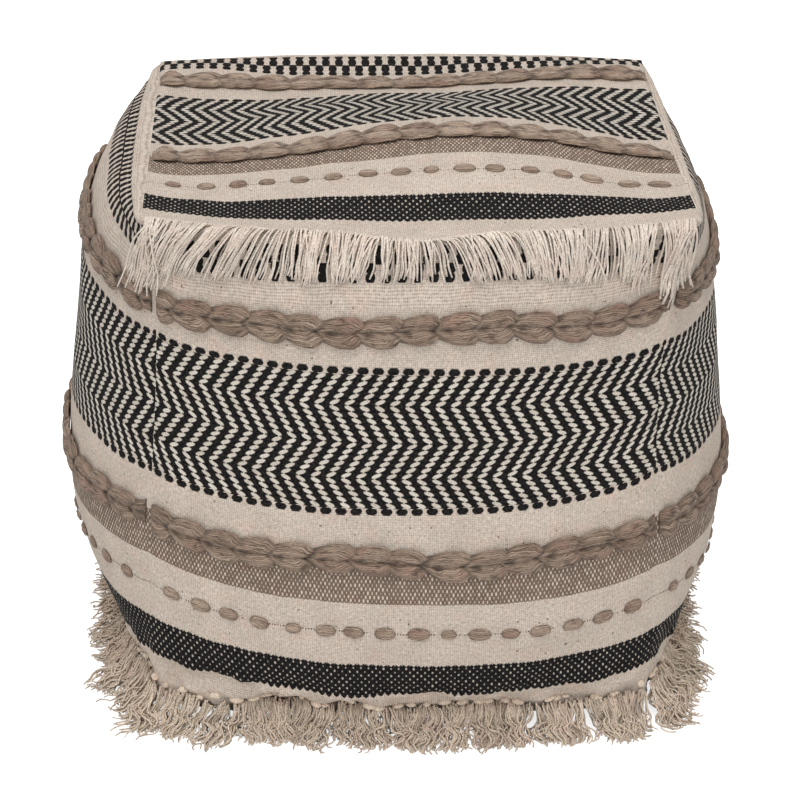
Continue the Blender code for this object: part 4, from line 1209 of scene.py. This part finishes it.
def make_floor():
    """A pale floor, brightened where the camera sees it."""
    material = bpy.data.materials.new("pale_floor")
    material.use_nodes = True
    wire = Wiring(material.node_tree)
    shader = material.node_tree.nodes["Principled BSDF"]
    where = wire.add("ShaderNodeTexCoord", {}).outputs["Object"]
    grain = wire.noise(where, 12.0, 2.0)
    wire.feed(shader.inputs["Base Color"], wire.mix(grain, (0.93, 0.93, 0.93, 1), (0.96, 0.96, 0.96, 1)))
    shader.inputs["Roughness"].default_value = 0.9
    shader.inputs["Emission Color"].default_value = (1, 1, 1, 1)
    seen = wire.add("ShaderNodeLightPath", {}).outputs["Is Camera Ray"]
    wire.feed(shader.inputs["Emission Strength"], wire.times(seen, FLOOR_GLOW))
    corners = [(x * FLOOR_HALF, y * FLOOR_HALF, 0.0) for x, y in ((-1, -1), (1, -1), (1, 1), (-1, 1))]
    mesh = bpy.data.meshes.new("floor")
    mesh.from_pydata(corners, [], [(0, 1, 2, 3)])
    mesh.materials.append(material)
    put("floor", mesh)


def look_at(item, place_at, aim):
    """Put an item at a place and turn it so that it looks at the aim, its own up toward +Z."""
    place_at, aim = np.array(place_at, float), np.array(aim, float)
    back = unit(place_at - aim)
    right = unit(np.cross((0.0, 0.0, 1.0), back))
    up = np.cross(back, right)
    matrix = np.eye(4)
    matrix[:3, 0], matrix[:3, 1], matrix[:3, 2], matrix[:3, 3] = right, up, back, place_at
    item.matrix_world = Matrix(matrix.tolist())


def make_light():
    """An even white world and the soft boxes."""
    world = bpy.data.worlds.new("soft_white")
    bpy.context.scene.world = world
    world.use_nodes = True
    background = world.node_tree.nodes["Background"]
    background.inputs["Color"].default_value = (1.0, 1.0, 1.0, 1)
    background.inputs["Strength"].default_value = WORLD_STRENGTH
    for name, place_at, aim, size, power in LAMPS:
        data = bpy.data.lights.new(name, "AREA")
        data.shape = "SQUARE"
        data.size = size
        data.energy = power
        look_at(put(name, data), place_at, aim)


def make_camera():
    """The photographed angle: straight on, 27 degrees above the floor."""
    data = bpy.data.cameras.new("camera")
    data.sensor_width = SENSOR
    data.lens = SENSOR * PHOTO_FOCAL / PHOTO_WIDTH
    camera = put("camera", data)
    aim = np.array(CAMERA_AIM) + CENTRE
    rise = math.radians(CAMERA_RISE)
    look_at(camera, aim + CAMERA_DISTANCE * np.array((0.0, -math.cos(rise), math.sin(rise))), aim)
    bpy.context.scene.camera = camera


# ---------------------------------------------------------------- the whole


def main():
    """Make the stage, the materials and every piece."""
    make_floor()
    make_light()
    make_camera()
    bpy.context.scene.view_settings.view_transform = "Standard"
    make_cover(striped_cloth())
    yarns_round = (YARN_STEPS * LOBE_YARNS + UNDERSIDE + 1) / YARN_STEPS
    plait_yarn = yarn_material("plait_yarn", PLAIT_COLORS, 0.0, yarns_round, 0.55, 0.55, 0.0006)
    tuft_yarn = yarn_material("tuft_yarn", PLAIT_COLORS, 0.0, 10.0, 0.50, 0.35, 0.0007)
    fringe_yarn = yarn_material("fringe_yarn", FRINGE_COLORS, FRINGE_TWIST, 2.0, 0.90, 0.0, 0.0002)
    floor_yarn = yarn_material("floor_yarn", FLOOR_COLORS, FRINGE_TWIST, 2.0, 0.84, 0.0, 0.0002)
    for side, name in enumerate(SIDE_NAMES):
        make_plait("plait_upper_" + name, side, UPPER_PLAIT, 3 + side, plait_yarn, "braid_upper_" + name)
        make_plait("plait_lower_" + name, side, LOWER_PLAIT, 13 + side, plait_yarn, "braid_lower_" + name)
        make_tufts("tufts_" + name, side, 23 + side, tuft_yarn, "dots_" + name)
        make_floor_fringe(side, floor_yarn)
    make_plait("plait_top_back", TOP, UPPER_PLAIT, 8, plait_yarn, "braid_top_back")
    make_plait("plait_top_front", TOP, LOWER_PLAIT, 18, plait_yarn, "braid_top_front")
    make_tufts("tufts_top", TOP, 28, tuft_yarn, "dots_top")
    make_top_fringe(fringe_yarn)


main()
